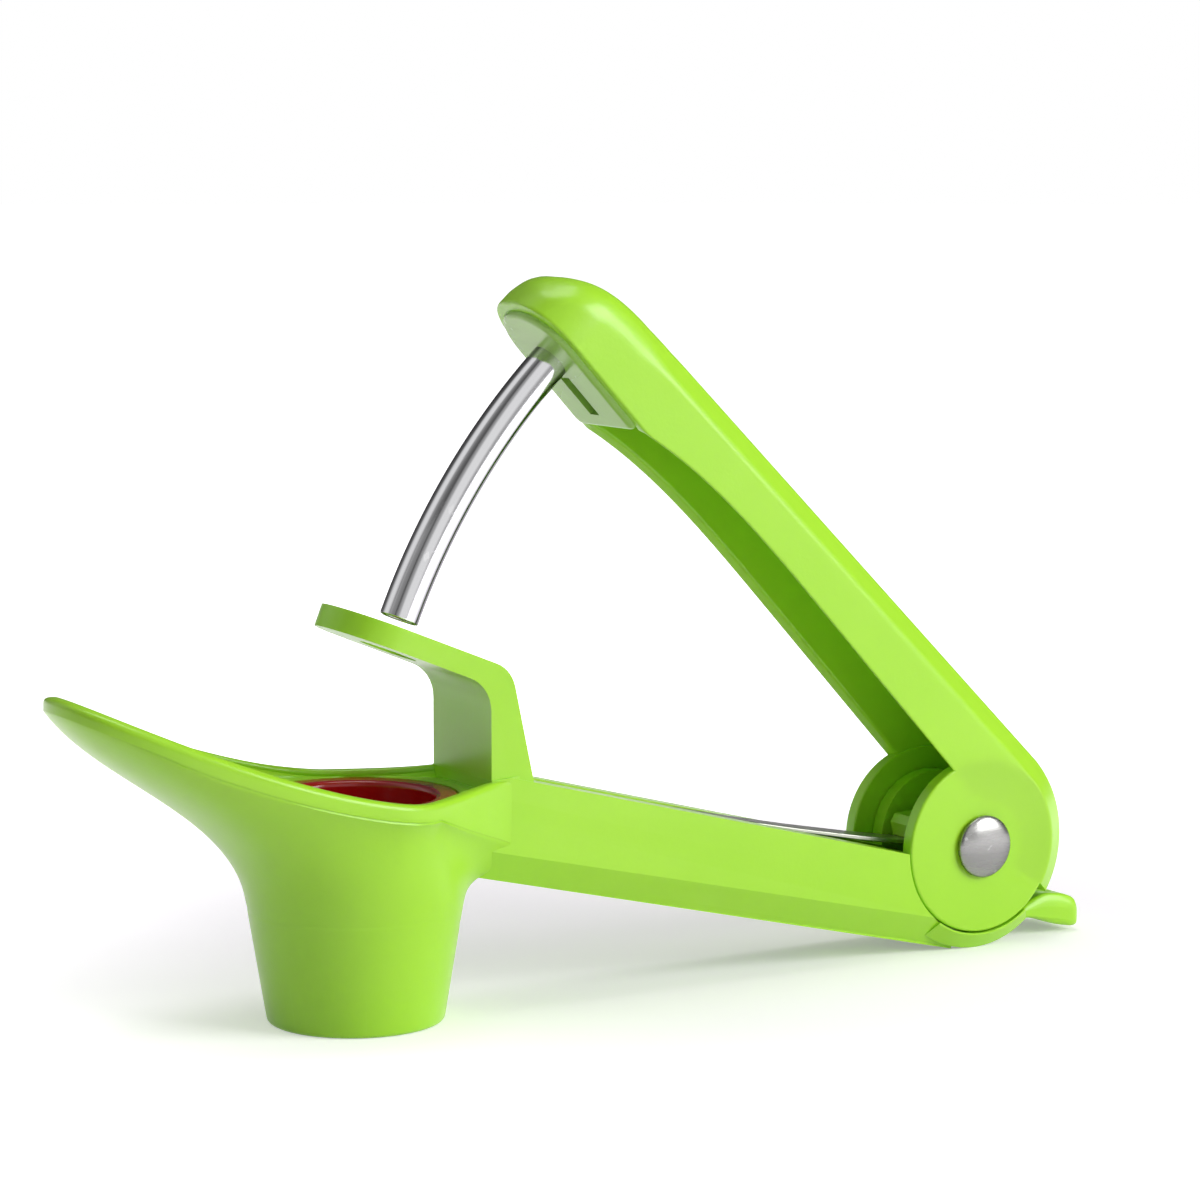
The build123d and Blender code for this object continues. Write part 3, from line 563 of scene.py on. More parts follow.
# %% Ears, hub, cam and rib
EAR = 14.8
EAR_INNER, EAR_OUTER = 7.2, 9.79
PIN_BORE = 2.05
HUB = 5.4
WEB_HALF = 2.9
CAM_ANGLE = 162.5
RIB_ANGLE, RIB_SPREAD, RIB_ROOT, RIB_OUTER = -103.0, 5.5, 4.0, 12.3


def ear(side):
    """A disc with the pin's bore, on the side -1 or 1."""
    inner, outer = side * EAR_INNER, side * EAR_OUTER
    corners = [(PIN_BORE, inner), (PIN_BORE, outer), (EAR, outer), (EAR, inner)]
    return ring_shell(*rounded_profile(corners, [0.1, 0.1, 0.5, 0.3]))


hub_corners = [(PIN_BORE, -WEB_HALF), (HUB, -WEB_HALF), (HUB, WEB_HALF), (PIN_BORE, WEB_HALF)]
hub = ring_shell(*rounded_profile(hub_corners, [0.1, 0.3, 0.3, 0.1]))
cam_points = [
    polar(CAM_ANGLE + 75, 4.0),
    polar(CAM_ANGLE + 12, 9.6),
    polar(CAM_ANGLE, 10.6),
    polar(CAM_ANGLE - 9, 10.3),
    polar(110, 5.2),
    polar(60, 4.5),
]
rib_places = ((-2, RIB_ROOT), (-1, RIB_OUTER), (1, RIB_OUTER), (2, RIB_ROOT))
rib_points = [polar(RIB_ANGLE + RIB_SPREAD * share, radius) for share, radius in rib_places]
lever_shells = [
    (lever_grid, False),
    (ear(-1), True),
    (ear(1), True),
    (hub, True),
    (side_prism(cam_points, WEB_HALF), False),
    (side_prism(rib_points, WEB_HALF), False),
]
lever = put("squeeze_lever", loops_to_mesh("squeeze_lever", lever_shells), "lever", 40)
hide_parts("lever")

# %% [markdown]
# ## The punch and its seat
#
# The punch is a thin steel tube bent to a circle round the hinge, so that it can enter the cup while the
# lever swings. Its wall is a long closed profile, down the outside, round the rolled end and up the inside,
# and this profile is turned once round the tube's own bent axis. The seat is a green block with the nose's
# outline. It fills the head, stands a little proud of the lever's edge and has a slot behind the tube. It is
# stacked from outlines, drawn in at the lower edge by a quarter circle, and the slot is cut from it.

# %% Bend the punch
PUNCH_ARC = 115.8
PUNCH_RADIUS = 3.15
PUNCH_WALL = 0.5
TIP_ANGLE = radians(22.0) + 1.6 / PUNCH_ARC
SEATED_ANGLE = LEVER_ANGLE + 4.6 / PUNCH_ARC


def punch_skin(rounds=72, steps=90):
    """Wall profile (distance along the arc, radius from the tube's axis) on the bent axis of the tube."""
    length = (SEATED_ANGLE - TIP_ANGLE) * PUNCH_ARC
    lengths = np.linspace(0.35, length - 0.2, steps)
    roll = np.linspace(-np.pi / 2, np.pi / 2, 9)
    half_wall = PUNCH_WALL / 2
    middle = PUNCH_RADIUS - half_wall
    tip_s, tip_r = half_wall - half_wall * np.cos(roll), middle + half_wall * np.sin(roll)
    s = np.concatenate([tip_s, lengths, lengths[::-1]])
    r = np.concatenate([tip_r, np.full(steps, PUNCH_RADIUS), np.full(steps, PUNCH_RADIUS - PUNCH_WALL)])
    turn_round = np.linspace(0, 2 * np.pi, rounds, endpoint=False)[:, None]
    arm = TIP_ANGLE + s / PUNCH_ARC
    outward = np.stack([-np.cos(arm), np.zeros_like(arm), np.sin(arm)], -1)
    away_from_hinge = PUNCH_ARC + r * np.cos(turn_round)
    sideways = r * np.sin(turn_round)
    return HINGE + away_from_hinge[..., None] * outward[None] + sideways[..., None] * ACROSS


punch = put("steel_punch", loops_to_mesh("steel_punch", [(punch_skin(), True)]), "lever", 50)
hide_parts("punch_tube")

# %% Fill the head with the punch's seat
SEAT_REAR = 100.4
SEAT_HALF = 8.5
SEAT_NOSE = NOSE - 1.9
SEAT_FACE, SEAT_TOP = -0.35, 6.0
SEAT_ROUND = 1.0
SLOT_FRONT, SLOT_REAR, SLOT_HALF = 112.0, 103.6, 1.4
SLOT_LOW, SLOT_FLOOR = -2.0, 1.6


def on_lever(u, out_of):
    """Side view (x, z) from the hinge of a place u along the lever and out_of above its underside."""
    return u * ALONG_LEVER[[0, 2]] + out_of * OVER_LEVER[[0, 2]]


def seat_outline(inset):
    """The straight rear, the sides, and the nose's plan, all drawn in by the inset: points (u, across)."""
    nose_at = SEAT_NOSE - inset
    u = nose_at - (nose_at - PLAN_START) * (1 - np.cos(np.linspace(0, np.pi / 2, 24)))
    side = (SEAT_HALF - inset) * arch_of(u, PLAN_START, nose_at - PLAN_START, PLAN_POWER)
    u = np.append(u, SEAT_REAR + inset + np.array([1.0, 0.3, 0.0]))
    side = np.append(side, SEAT_HALF - inset - np.array([0.0, 0.3, 1.0]))
    return np.concatenate([np.stack([u, side], -1), np.stack([u[::-1], -side[::-1]], -1)])


bend = np.linspace(0, np.pi / 2, 7)
insets = np.append(SEAT_ROUND * (1 - np.sin(bend)), 0.0)
heights = np.append(SEAT_FACE + SEAT_ROUND * (1 - np.cos(bend)), SEAT_TOP)
outlines = np.stack([seat_outline(inset) for inset in insets])
seat_grid = HINGE + outlines[..., :1] * ALONG_LEVER + heights[:, None, None] * OVER_LEVER
seat_grid = seat_grid + outlines[..., 1:] * ACROSS
slot_points = [on_lever(u, SLOT_LOW) for u in (SLOT_REAR, SLOT_FRONT)]
slot_points += [on_lever(u, SLOT_FLOOR) for u in (SLOT_FRONT, SLOT_REAR)]
slot_cutter = hidden_cutter("slot_cutter", side_prism(slot_points, SLOT_HALF))
seat_mesh = loops_to_mesh("punch_seat", [(seat_grid, False)])
holder = put("punch_seat", welded_copy("punch_seat", seat_mesh, [slot_cutter]), "lever", 40)
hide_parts("punch_holder")

# %% [markdown]
# ## The soft liner
#
# A flexible liner sits in the cup's mouth. Its floor has a hole between four rounded petals. In a polar grid
# the petals are only a change of the innermost radius and of the bowl's height.

# %% Turn the liner
THROAT = 8.6
LOBE_RADIUS, LOBE_OFFSET = 4.0, 8.5
FLANGE, FLANGE_TOP, FLANGE_FOOT = 16.2, 35.7, 34.4
LINER_BORE, LINER_OUTSIDE = 12.7, 14.0
BOWL_RADIUS, BORE_END, BOWL_EDGE, BOWL_DEPTH = 12.4, 32.4, 31.6, 4.6
PETAL_FOOT, PETAL_HEIGHT = 26.9, 4.9
LINER_FOOT = 25.3
QUARTER = np.pi / 2


def lobed_hole(angle):
    """Radius of the hole: 8.6, or the near side of a circle of radius 4 that stands 8.5 from the axis."""
    from_lobe = np.mod(angle, QUARTER) - QUARTER / 2
    inside = LOBE_RADIUS**2 - (LOBE_OFFSET * np.sin(from_lobe)) ** 2
    near = LOBE_OFFSET * np.cos(from_lobe) - np.sqrt(np.clip(inside, 0, None))
    lobe = np.where(inside > 0, near, THROAT)
    fade = ease(np.abs(from_lobe), radians(24), radians(30))
    return np.minimum(lobe, THROAT) * (1 - fade) + THROAT * fade


liner_turn = np.linspace(0, 2 * np.pi, 240, endpoint=False)
hole = lobed_hole(liner_turn)


def pair_of(radius, height):
    """Points (radius, height), one for each direction round the liner."""
    return np.stack(np.broadcast_arrays(radius, height, hole)[:2], -1).astype(float)


def liner_profile():
    """Half section: flange, bore, a bowl that is hollow between the petals and domed on them, the hole, the
    underside and the outer wall. The petal's share is 1 on its middle line and 0 half way to the next."""
    from_petal = np.abs(np.mod(liner_turn, QUARTER) - QUARTER / 2)
    share = 1 - ease(from_petal, radians(8), radians(33))[:, None]
    slope = np.linspace(0, QUARTER, 9)
    ring = BOWL_RADIUS - hole[:, None]
    hollow_r = hole[:, None] + ring * np.cos(slope)
    hollow_z = BOWL_EDGE - BOWL_DEPTH * np.sin(slope)
    dome_r = hole[:, None] + ring * (1 - np.sin(slope))
    dome_z = PETAL_FOOT + PETAL_HEIGHT * np.cos(slope) ** 1.2
    bowl = np.stack([hollow_r + (dome_r - hollow_r) * share, hollow_z + (dome_z - hollow_z) * share], -1)
    upper = [pair_of(FLANGE, FLANGE_TOP), pair_of(LINER_BORE, FLANGE_TOP), pair_of(LINER_BORE, BORE_END)]
    under = [
        pair_of(hole, LINER_FOOT),
        pair_of(LINER_OUTSIDE, LINER_FOOT),
        pair_of(LINER_OUTSIDE, FLANGE_FOOT),
        pair_of(FLANGE, FLANGE_FOOT),
    ]
    return np.concatenate([np.stack(upper, 1), bowl, np.stack(under, 1)], 1)


rounding = np.array([[0.4, 1.0, 0.6] + [0.3] * 9 + [0.5, 0.5, 0.3, 0.3]])
liner_grid = turned_about_cup(round_corners(liner_profile(), rounding, 5), liner_turn)
liner = put("soft_liner", loops_to_mesh("soft_liner", [(liner_grid, True)]), "base", 45)
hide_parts("cup_liner")

# %% [markdown]
# ## Pin, strip and lock
#
# The pin's two heads are shallow polished domes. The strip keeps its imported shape, with its edges broken. The
# lock is a plain bar with a catch, and its paddle is a soft pebble: one side outline, narrowed towards both
# sides and hollowed a little on top for the thumb.

# %% Dome the pin's heads
PIN_FACE = 10.1
HEAD_RADIUS, HEAD_RISE, HEAD_STEP = 5.3, 1.4, 0.4
PIN_RADIUS = 2.0
AXIS_GAP = 0.02


def pin_head(side):
    """A dome on the side -1 or 1: flat foot, a 0.4 edge, then a quarter ellipse 1.4 high up to the axis."""
    slope = np.linspace(0, np.pi / 2, 20)
    edge = [AXIS_GAP, HEAD_RADIUS - 0.1, HEAD_RADIUS]
    radii = np.concatenate([edge, HEAD_RADIUS * np.cos(slope)[:-1], [AXIS_GAP]])
    dome = HEAD_STEP + HEAD_RISE * np.sin(slope)[:-1]
    rise = np.concatenate([[0, 0, 0.1], dome, [HEAD_STEP + HEAD_RISE]])
    return ring_shell(radii, side * (PIN_FACE + rise))


shaft_radii = (AXIS_GAP, PIN_RADIUS, PIN_RADIUS, AXIS_GAP)
shaft_corners = list(zip(shaft_radii, (-PIN_FACE, -PIN_FACE, PIN_FACE, PIN_FACE)))
shaft = ring_shell(*rounded_profile(shaft_corners, [0.01, 0.05, 0.05, 0.01]), 48)
near_mesh = loops_to_mesh("rivet_near", [(pin_head(-1), True), (shaft, True)])
near_head = put("rivet_near", near_mesh, "base", 40)
far_head = put("rivet_far", loops_to_mesh("rivet_far", [(pin_head(1), True)]), "base", 40)
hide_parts("hinge_pin")
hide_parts("pin_cap")

# %% Break the strip's edges
strip = put("spring_strip", welded_copy("spring_strip", "leaf_spring"), "spring", 20)
soften(strip, 0.18, 2)
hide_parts("leaf_spring")

# %% Shape the lock
PADDLE_HALF = 6.4
PADDLE_ROOT = 9.3
NARROWS_FROM = 18.5
THIN_EDGE = 0.16
THUMB_X, THUMB_REACH, THUMB_DEPTH = 18.2, 5.5, 0.6
BAR_HALF = 3.8
paddle_corners = [
    (PADDLE_ROOT, -14.5),
    (PADDLE_ROOT, -13.5),
    (13.5, -11.6),
    (16.8, -10.4),
    (20.9, -11.0),
    (23.7, -12.2),
    (24.5, -13.9),
    (24.4, -16.9),
    (22.9, -17.1),
    (18.6, -16.3),
    (13.4, -14.6),
]


def paddle_grid(rows=45):
    """The side outline at each place across, drawn in by (1 - s^5)^(1/5) at the end, and thinned to a
    rounded edge at both sides; the top is hollowed by 0.6 of a cosine bell."""
    s = np.sin(np.linspace(-np.pi / 2, np.pi / 2, rows)) * 0.9995
    loop = round_corners(np.array([paddle_corners], float), np.array([[0.5] * 2 + [1.5] * 9]), 6)[0]
    x = np.broadcast_to(loop[:, 0], (rows, len(loop))).copy()
    z = np.broadcast_to(loop[:, 1], (rows, len(loop))).copy()
    crossing = s[:, None]
    narrow = (1 - np.abs(crossing) ** 5) ** 0.2
    x = np.where(x > NARROWS_FROM, NARROWS_FROM + (x - NARROWS_FROM) * (0.25 + 0.75 * narrow), x)
    to_edge = np.clip((np.abs(crossing) - 1 + THIN_EDGE) / THIN_EDGE, 0, 1)
    edge = np.sqrt(np.clip(1 - to_edge**2, 0.02, 1))
    middle_z = -13.4 - 0.12 * (x - PADDLE_ROOT)
    z = middle_z + (z - middle_z) * (0.25 + 0.75 * edge)
    bell = np.cos(np.clip((x - THUMB_X) / THUMB_REACH, -1, 1) * np.pi / 2) ** 2 * (1 - crossing**2)
    z = z - THUMB_DEPTH * bell * (z > middle_z)
    y = np.broadcast_to(PADDLE_HALF * crossing, x.shape)
    return np.stack([HINGE[0] + x, y, HINGE[2] + z], -1)


bar_points = [(3.95, -14.5), (3.95, -11.2), (5.1, -11.2), (5.1, -12.8), (13.0, -12.8), (13.0, -14.5)]
lock_shells = [(paddle_grid(), False), (side_prism(bar_points, BAR_HALF), False)]
paddle = put("lock_paddle", loops_to_mesh("lock_paddle", lock_shells), "lock", 40)
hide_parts("lock_slide")

# %% [markdown]
# ## Shared effects for the finishes
#
# A few effects come back in several finishes: the faint unevenness of a moulded skin, fine scratches from
# use, a paler line on edges that is partly wear and partly a painted highlight, painted shade in hollows,
# and the grain of drawn metal. Each is a node group with named sockets, made once, and every finish
# gives it its own numbers.

# %% Helpers for node trees
def set_inputs(tree, node, inputs):
    """Give a node's sockets, by name or number, a constant or a link from another socket."""
    for key, value in inputs.items():
        if isinstance(value, bpy.types.NodeSocket):
            tree.links.new(value, node.inputs[key])
        else:
            node.inputs[key].default_value = value


def add(tree, kind, inputs, **settings):
    """A node with its settings and what its sockets get."""
    node = tree.nodes.new(kind)
    for key, value in settings.items():
        setattr(node, key, value)
    set_inputs(tree, node, inputs)
    return node


def new_material(name):
    """A node material with its output and one Principled shader: the material, its tree and the shader."""
    material = bpy.data.materials.new(name)
    material.use_nodes = True
    tree = material.node_tree
    tree.nodes.clear()
    shader = tree.nodes.new("ShaderNodeBsdfPrincipled")
    add(tree, "ShaderNodeOutputMaterial", {"Surface": shader.outputs["BSDF"]})
    return material, tree, shader


def new_group(name, inputs, outputs):
    """A shader node group that takes a vector and the named numbers: its tree, its input sockets, its end."""
    group = bpy.data.node_groups.new(name, "ShaderNodeTree")
    group.interface.new_socket("Vector", in_out="INPUT", socket_type="NodeSocketVector")
    for label, default in inputs.items():
        socket = group.interface.new_socket(label, in_out="INPUT", socket_type="NodeSocketFloat")
        socket.default_value = default
    for label in outputs:
        group.interface.new_socket(label, in_out="OUTPUT", socket_type="NodeSocketFloat")
    return group, group.nodes.new("NodeGroupInput").outputs, group.nodes.new("NodeGroupOutput")


def place_group(tree, group, vector, numbers):
    """Outputs of a shared group, with this finish's own numbers."""
    return add(tree, "ShaderNodeGroup", {"Vector": vector, **numbers}, node_tree=group).outputs


def mix_colour(tree, factor, first, second):
    """A colour mix; factor and colours are numbers or sockets. Returns the colour socket."""
    return add(tree, "ShaderNodeMix", {0: factor, 6: first, 7: second}, data_type="RGBA").outputs[2]


def math(tree, operation, *values):
    """A math node; each value is a number or a socket. Returns the value socket."""
    return add(tree, "ShaderNodeMath", dict(enumerate(values)), operation=operation).outputs[0]


def noise(tree, vector, scale, detail, roughness=0.5, distortion=0.0):
    """Outputs of a noise texture."""
    look = {"Detail": detail, "Roughness": roughness, "Distortion": distortion}
    return add(tree, "ShaderNodeTexNoise", {"Vector": vector, "Scale": scale, **look}).outputs


def remap(tree, value, limits, kind="SMOOTHSTEP"):
    """A value carried from one range to another, with eased ends or LINEAR. Returns the result's socket."""
    node = add(tree, "ShaderNodeMapRange", {"Value": value, **limits}, interpolation_type=kind)
    return node.outputs["Result"]


# %% Moulded skin
skin_scales = {"Grain Scale": 900.0, "Flow Scale": 45.0}
moulded, start, end = new_group("moulded_skin", skin_scales, ("Height", "Flow"))
grain = noise(moulded, start["Vector"], start["Grain Scale"], 3.0, 0.55)["Fac"]
flow = noise(moulded, start["Vector"], start["Flow Scale"], 2.0, 0.5, 0.6)["Fac"]
height = math(moulded, "ADD", grain, math(moulded, "MULTIPLY", flow, 2.0))
set_inputs(moulded, end, {"Height": height, "Flow": flow})

# %% Fine scratches
scratches, start, end = new_group("fine_scratches", {"Scale": 60.0, "Amount": 0.5}, ("Mask",))
tangled = noise(scratches, start["Vector"], 30.0, 2.0)["Color"]
shift = {0: tangled, 1: (0.01, 0.01, 0.01), 2: start["Vector"]}
bent = add(scratches, "ShaderNodeVectorMath", shift, operation="MULTIPLY_ADD").outputs[0]
lines = []
for turned in (0.5, 2.2):
    laying = {"Vector": bent, "Rotation": (0.4 * turned, 0.9, turned), "Scale": (1.0, 26.0, 26.0)}
    laid = add(scratches, "ShaderNodeMapping", laying).outputs[0]
    streak = noise(scratches, laid, start["Scale"], 1.0)["Fac"]
    lines.append(remap(scratches, streak, {"From Min": 0.64, "From Max": 0.76}))
both = math(scratches, "MAXIMUM", *lines)
set_inputs(scratches, end, {"Mask": math(scratches, "MULTIPLY", both, start["Amount"])})

# %% Edge wear, a painted edge highlight, and painted shade in hollows
wear_and_painted_light, start, end = new_group("edge_wear_highlight_and_hollow_shade", {"Amount": 0.5, "Sharpness": 0.54}, ("Edge", "Hollow Shade"))
pointed = wear_and_painted_light.nodes.new("ShaderNodeNewGeometry").outputs["Pointiness"]
# Pale edge mask: partly wear, partly a painted highlight along convex edges.
out_edge = remap(wear_and_painted_light, pointed, {"From Min": start["Sharpness"], "From Max": 0.62})
patchy = noise(wear_and_painted_light, start["Vector"], 110.0, 3.0)["Fac"]
broken = remap(wear_and_painted_light, patchy, {"From Min": 0.3, "From Max": 0.65, "To Min": 0.35}, "LINEAR")
edge = math(wear_and_painted_light, "MULTIPLY", math(wear_and_painted_light, "MULTIPLY", out_edge, broken), start["Amount"])
# Painted shade mask: 1 in concave places, where the surface folds inwards.
hollow = remap(wear_and_painted_light, pointed, {"From Min": 0.48, "From Max": 0.40})
set_inputs(wear_and_painted_light, end, {"Edge": edge, "Hollow Shade": hollow})

# %% Drawn metal
drawn, start, end = new_group("drawn_metal", {"Scale": 60.0}, ("Height", "Band"))
fine = noise(drawn, start["Vector"], start["Scale"], 5.0, 0.7)["Fac"]
wide = noise(drawn, start["Vector"], 9.0, 2.0)["Fac"]
set_inputs(drawn, end, {"Height": fine, "Band": wide})
print("groups", [group.name for group in bpy.data.node_groups])

# %% Cover with a tone, a gloss and a bump
def cover(tree, shader, tone, gloss, height, lines, scuff, sink, strength, distance):
    """Scratches roughen the gloss by scuff and change the height by sink; the height bumps the surface."""
    scuffed = math(tree, "MULTIPLY_ADD", lines, scuff, gloss)
    lift = math(tree, "MULTIPLY_ADD", lines, sink, height)
    bump = add(tree, "ShaderNodeBump", {"Strength": strength, "Distance": distance, "Height": lift})
    set_inputs(tree, shader, {"Base Color": tone, "Roughness": scuffed, "Normal": bump.outputs[0]})


# %% [markdown]
# ## Lime green moulding
#
# The body, the lever and the lock are glossy polypropylene. The colour is bright and a little yellow where
# light falls on it, and deep green in the hollows, because the plastic lets some light in. A small amount of
# scattering under the skin gives that depth, and painted shade darkens the hollows further. Edges are
# painted paler, partly as wear and partly as a highlight. The gloss comes from the shader; the skin's
# unevenness and the scratches only break it up a little, as handling does.

# %% Mix the green plastic
def glossy_plastic(name, light, deep, pale_edge_wear_and_highlight, roughness, scatter):
    """Moulded plastic: two tones mixed by the flow of the skin, pale edges that are partly wear and partly
    a painted highlight, and painted shade in the hollows.
    """
    material, tree, shader = new_material(name)
    where = tree.nodes.new("ShaderNodeTexCoord").outputs["Object"]
    skin = place_group(tree, moulded, where, {"Grain Scale": 1500.0, "Flow Scale": 38.0})
    lines = place_group(tree, scratches, where, {"Scale": 26.0, "Amount": 0.08})["Mask"]
    edges = place_group(tree, wear_and_painted_light, where, {"Amount": 0.14, "Sharpness": 0.54})
    tone = mix_colour(tree, skin["Flow"], light, deep)
    # Pale edges: partly wear, partly a painted highlight.
    tone = mix_colour(tree, edges["Edge"], tone, pale_edge_wear_and_highlight)
    # Painted shade: hollows are darkened half way towards 0.62 of the deep tone.
    dark = tuple(0.62 * v for v in deep[:3]) + (1,)
    tone = mix_colour(tree, math(tree, "MULTIPLY", edges["Hollow Shade"], 0.5), tone, dark)
    gloss = remap(tree, skin["Flow"], {"To Min": roughness * 0.8, "To Max": roughness * 1.3}, "LINEAR")
    cover(tree, shader, tone, gloss, skin["Height"], lines, 0.16, -0.3, 0.10, 0.0002)
    set_inputs(tree, shader, {"IOR": 1.49, "Coat Weight": 0.1, "Coat Roughness": 0.06})
    if scatter:
        depth = {"Subsurface Radius": (0.9, 1.0, 0.25), "Subsurface Scale": 0.002}
        set_inputs(tree, shader, {"Subsurface Weight": scatter, **depth})
    return material


green = glossy_plastic(
    "lime_plastic", (0.42, 0.81, 0.03, 1), (0.36, 0.745, 0.02, 1), (0.50, 0.88, 0.09, 1), 0.31, 0.12
)
holder_green = glossy_plastic(
    "grey_green_plastic", (0.40, 0.70, 0.12, 1), (0.32, 0.60, 0.09, 1), (0.5, 0.76, 0.25, 1), 0.26, 0.0
)
liner_red = glossy_plastic(
    "red_rubber", (0.50, 0.004, 0.006, 1), (0.36, 0.002, 0.004, 1), (0.75, 0.06, 0.05, 1), 0.2, 0.0
)

# %% [markdown]
# ## Steel
#
# The punch and the rivets are polished and show the room in bright and dark bands. The strip is satin: its
# grain runs along it and spreads the reflection. Both are metal, so the base colour is what they reflect, and
# the grain comes from noise that is squeezed in one direction by a Mapping node. Edges are painted paler,
# partly as wear and partly as a highlight. The punch and rivets are painted darker where they turn away,
# as a painted reflection of the dark open front.

# %% Mix the steels
def steel_finish(name, colour, dull, roughness, stretch, strength, rim=0.0):
    """Metal with a directional grain; stretch gives how much finer the noise is along each axis, and rim how
    much darker it is painted where it turns away: a painted reflection of the dark open front, as a
    polished piece is in a white tent with an open front. Edges are painted paler, partly as wear and
    partly as a highlight."""
    material, tree, shader = new_material(name)
    where = tree.nodes.new("ShaderNodeTexCoord").outputs["Object"]
    laid = add(tree, "ShaderNodeMapping", {"Scale": stretch, "Vector": where}).outputs[0]
    grain = place_group(tree, drawn, laid, {"Scale": 70.0})
    lines = place_group(tree, scratches, where, {"Scale": 40.0, "Amount": 0.6})["Mask"]
    edges = place_group(tree, wear_and_painted_light, where, {"Amount": 0.4, "Sharpness": 0.54})
    tone = mix_colour(tree, grain["Band"], colour, dull)
    # Pale edges: partly wear, partly a painted highlight.
    tone = mix_colour(tree, edges["Edge"], tone, (0.95, 0.95, 0.95, 1))
    # Painted reflection: darker where the surface turns away from the camera.
    facing = add(tree, "ShaderNodeLayerWeight", {"Blend": 0.5}).outputs["Facing"]
    painted_dark_reflection = remap(tree, facing, {"From Min": 0.31, "From Max": 0.52, "To Max": rim})
    tone = mix_colour(tree, painted_dark_reflection, tone, (0.05, 0.05, 0.055, 1))
    gloss = remap(tree, grain["Height"], {"To Min": roughness * 0.7, "To Max": roughness * 1.3}, "LINEAR")
    cover(tree, shader, tone, gloss, grain["Height"], lines, 0.12, -0.5, strength, 0.0001)
    set_inputs(tree, shader, {"Metallic": 1.0})
    return material


polished = steel_finish(
    "polished_steel", (0.72, 0.72, 0.73, 1), (0.60, 0.60, 0.62, 1), 0.10, (1.0, 14.0, 1.0), 0.05, 0.8
)
turned_steel = steel_finish(
    "turned_steel", (0.38, 0.38, 0.37, 1), (0.27, 0.27, 0.26, 1), 0.27, (1.0, 1.0, 16.0), 0.12, 0.3
)
satin = steel_finish(
    "satin_strip", (0.50, 0.50, 0.47, 1), (0.40, 0.40, 0.37, 1), 0.34, (0.6, 30.0, 0.6), 0.2
)

# %% Dress every piece
for piece, material, slot in (
    (tray_and_cup, green, "green_plastic"),
    (handle, green, "green_plastic"),
    (lever, green, "green_plastic"),
    (paddle, green, "green_plastic"),
    (punch, polished, "polished_steel"),
    (near_head, turned_steel, "polished_steel"),
    (far_head, turned_steel, "polished_steel"),
    (holder, holder_green, "holder_plastic"),
    (strip, satin, "spring_steel"),
    (liner, liner_red, "red_liner"),
):
    piece.data.materials.clear()
    piece.data.materials.append(material)
    print(piece.name, "wears", material.name)

# %% [markdown]
# ## The table and the white room
#
# The photograph has a plain white ground with a soft pale shadow below the handle. The table is a large flat
# surface. The camera, and reflections in steel, see it lifted to white away from the handle, while its own
# diffuse light still carries the shadow. Beyond it the room is white to the camera. Reflections see light and
# dark bands there, and everything else gets one even level.

# %% Lay the table
TABLE_RADIUS = 6000


def table_top():
    """Rings of a disc: radius grows with the square of the station, so that it is finer near the tool."""
    radius = np.linspace(0.02, 1, 24)[:, None] ** 2 * TABLE_RADIUS
    angle = np.linspace(0, 2 * np.pi, 96, endpoint=False)
    x = radius * np.cos(angle)
    top_side = np.stack([x, radius * np.sin(angle), np.full_like(x, -0.02)], -1)
    return np.concatenate([top_side, top_side[::-1] - np.array([0, 0, 3.0])])


table = bpy.data.objects.new("table", loops_to_mesh("table", [(table_top(), False)]))
bpy.context.scene.collection.objects.link(table)
white, tree, shader = new_material("white_table")
path = tree.nodes.new("ShaderNodeLightPath").outputs
where = tree.nodes.new("ShaderNodeTexCoord").outputs["Object"]
centred = add(tree, "ShaderNodeMapping", {"Location": (-0.045, -0.02, 0.0), "Vector": where}).outputs[0]
distance = add(tree, "ShaderNodeVectorMath", {0: centred}, operation="LENGTH").outputs["Value"]
# Painted light: the glow that lifts the table to white is weak near the handle and grows away from it, so it
# keeps the shadow under the handle and washes out shadows elsewhere. The base is a little magenta to offset
# green light thrown on it by the tool.
white_lift_glow = remap(tree, distance, {"From Min": 0.06, "From Max": 0.2, "To Min": 0.28, "To Max": 1.0})
seen = math(tree, "MAXIMUM", path["Is Camera Ray"], path["Is Glossy Ray"])
seen = math(tree, "MAXIMUM", seen, path["Is Transmission Ray"])
set_inputs(
    tree,
    shader,
    {
        "Base Color": (0.90, 0.86, 0.92, 1),
        "Roughness": 0.85,
        "Specular IOR Level": 0.0,
        "Emission Color": (1, 1, 1, 1),
        "Emission Strength": math(tree, "MULTIPLY", seen, white_lift_glow),
    },
)
table.data.materials.append(white)

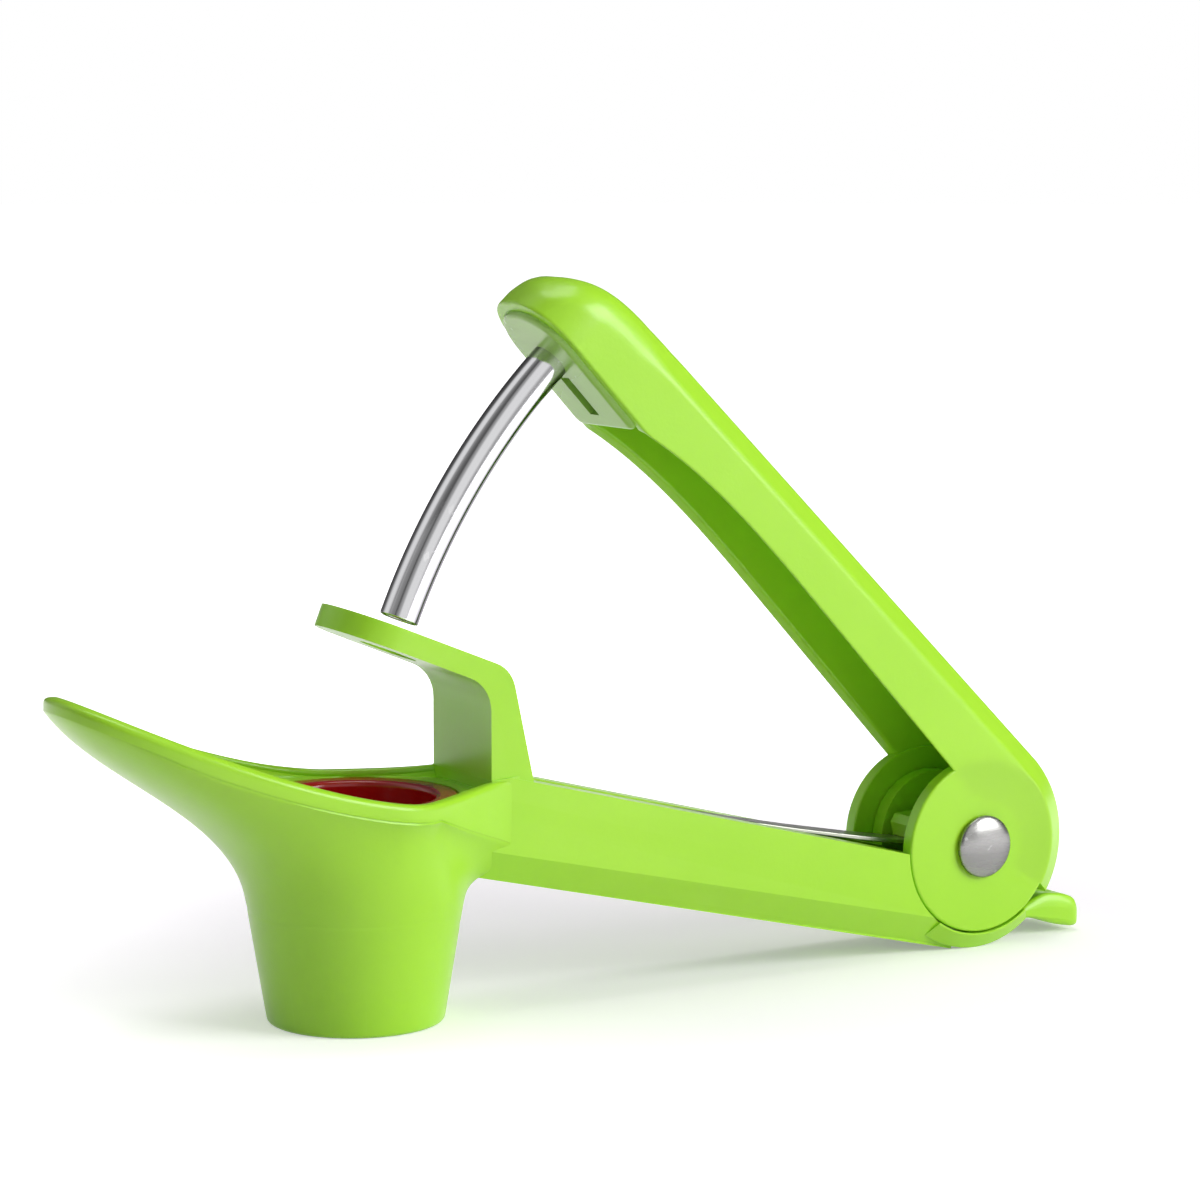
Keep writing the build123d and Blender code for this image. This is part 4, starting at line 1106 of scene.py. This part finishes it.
# %% Fill the room with light
ROOM_LEVEL = 0.21
room = bpy.data.worlds.new("white_room")
bpy.context.scene.world = room
room.use_nodes = True
tree = room.node_tree
tree.nodes.clear()
path = tree.nodes.new("ShaderNodeLightPath").outputs
seen = math(tree, "MAXIMUM", path["Is Camera Ray"], path["Is Transmission Ray"])
direction = tree.nodes.new("ShaderNodeTexCoord").outputs["Generated"]
around_room = add(tree, "ShaderNodeTexGradient", {"Vector": direction}, gradient_type="RADIAL")
bands = add(tree, "ShaderNodeValToRGB", {"Fac": around_room.outputs["Fac"]})
ramp = bands.color_ramp
ramp.interpolation = "EASE"
stops = [
    (0.0, 0.35),
    (0.05, 0.20),
    (0.10, 0.12),
    (0.15, 0.45),
    (0.19, 1.0),
    (0.26, 1.0),
    (0.30, 0.45),
    (0.36, 0.85),
    (0.42, 0.85),
    (0.46, 0.30),
    (0.52, 0.10),
    (0.74, 0.10),
    (0.80, 0.35),
    (0.85, 1.0),
    (0.94, 1.0),
    (1.0, 0.35),
]
while len(ramp.elements) < len(stops):
    ramp.elements.new(0.5)
for element, (place, brightness) in zip(ramp.elements, stops):
    element.position = place
    element.color = (brightness, brightness, brightness, 1)
reflected = math(tree, "MULTIPLY", path["Is Glossy Ray"], bands.outputs["Color"])
plain = math(tree, "MULTIPLY", math(tree, "SUBTRACT", 1.0, path["Is Glossy Ray"]), ROOM_LEVEL)
level = math(tree, "MAXIMUM", math(tree, "ADD", reflected, plain), seen)
glow = add(tree, "ShaderNodeBackground", {"Color": (1, 1, 1, 1), "Strength": level})
add(tree, "ShaderNodeOutputWorld", {"Surface": glow.outputs[0]})

# %% [markdown]
# ## Lamps
#
# The photograph is lit from the right of the camera and from above: the cup is bright on its right side, the
# tray's far wall is lit, and the shadow is soft and falls behind the tool. Two large area lamps do that, and
# a weak one keeps the left side readable.

# %% Hang the lamps
def soft_lamp(name, place, aim, size, power):
    """A square area lamp at a place, turned to face a point."""
    data = bpy.data.lights.new(name, "AREA")
    data.shape = "SQUARE"
    data.size = size
    data.energy = power
    lamp = bpy.data.objects.new(name, data)
    bpy.context.scene.collection.objects.link(lamp)
    lamp.location = place
    lamp.rotation_euler = (Vector(aim) - Vector(place)).to_track_quat("-Z", "Y").to_euler()
    return lamp


soft_lamp("right_front", (0.78, -0.94, 0.60), (0, 0, 0.04), 0.8, 14.2)
soft_lamp("overhead", (0.05, 0.10, 1.2), (0, 0, 0), 0.6, 3.8)
soft_lamp("left_fill", (-1.0, -0.3, 0.5), (0, 0, 0.05), 0.6, 0.15)

# %% Finish
bpy.context.scene.view_settings.view_transform = "Standard"
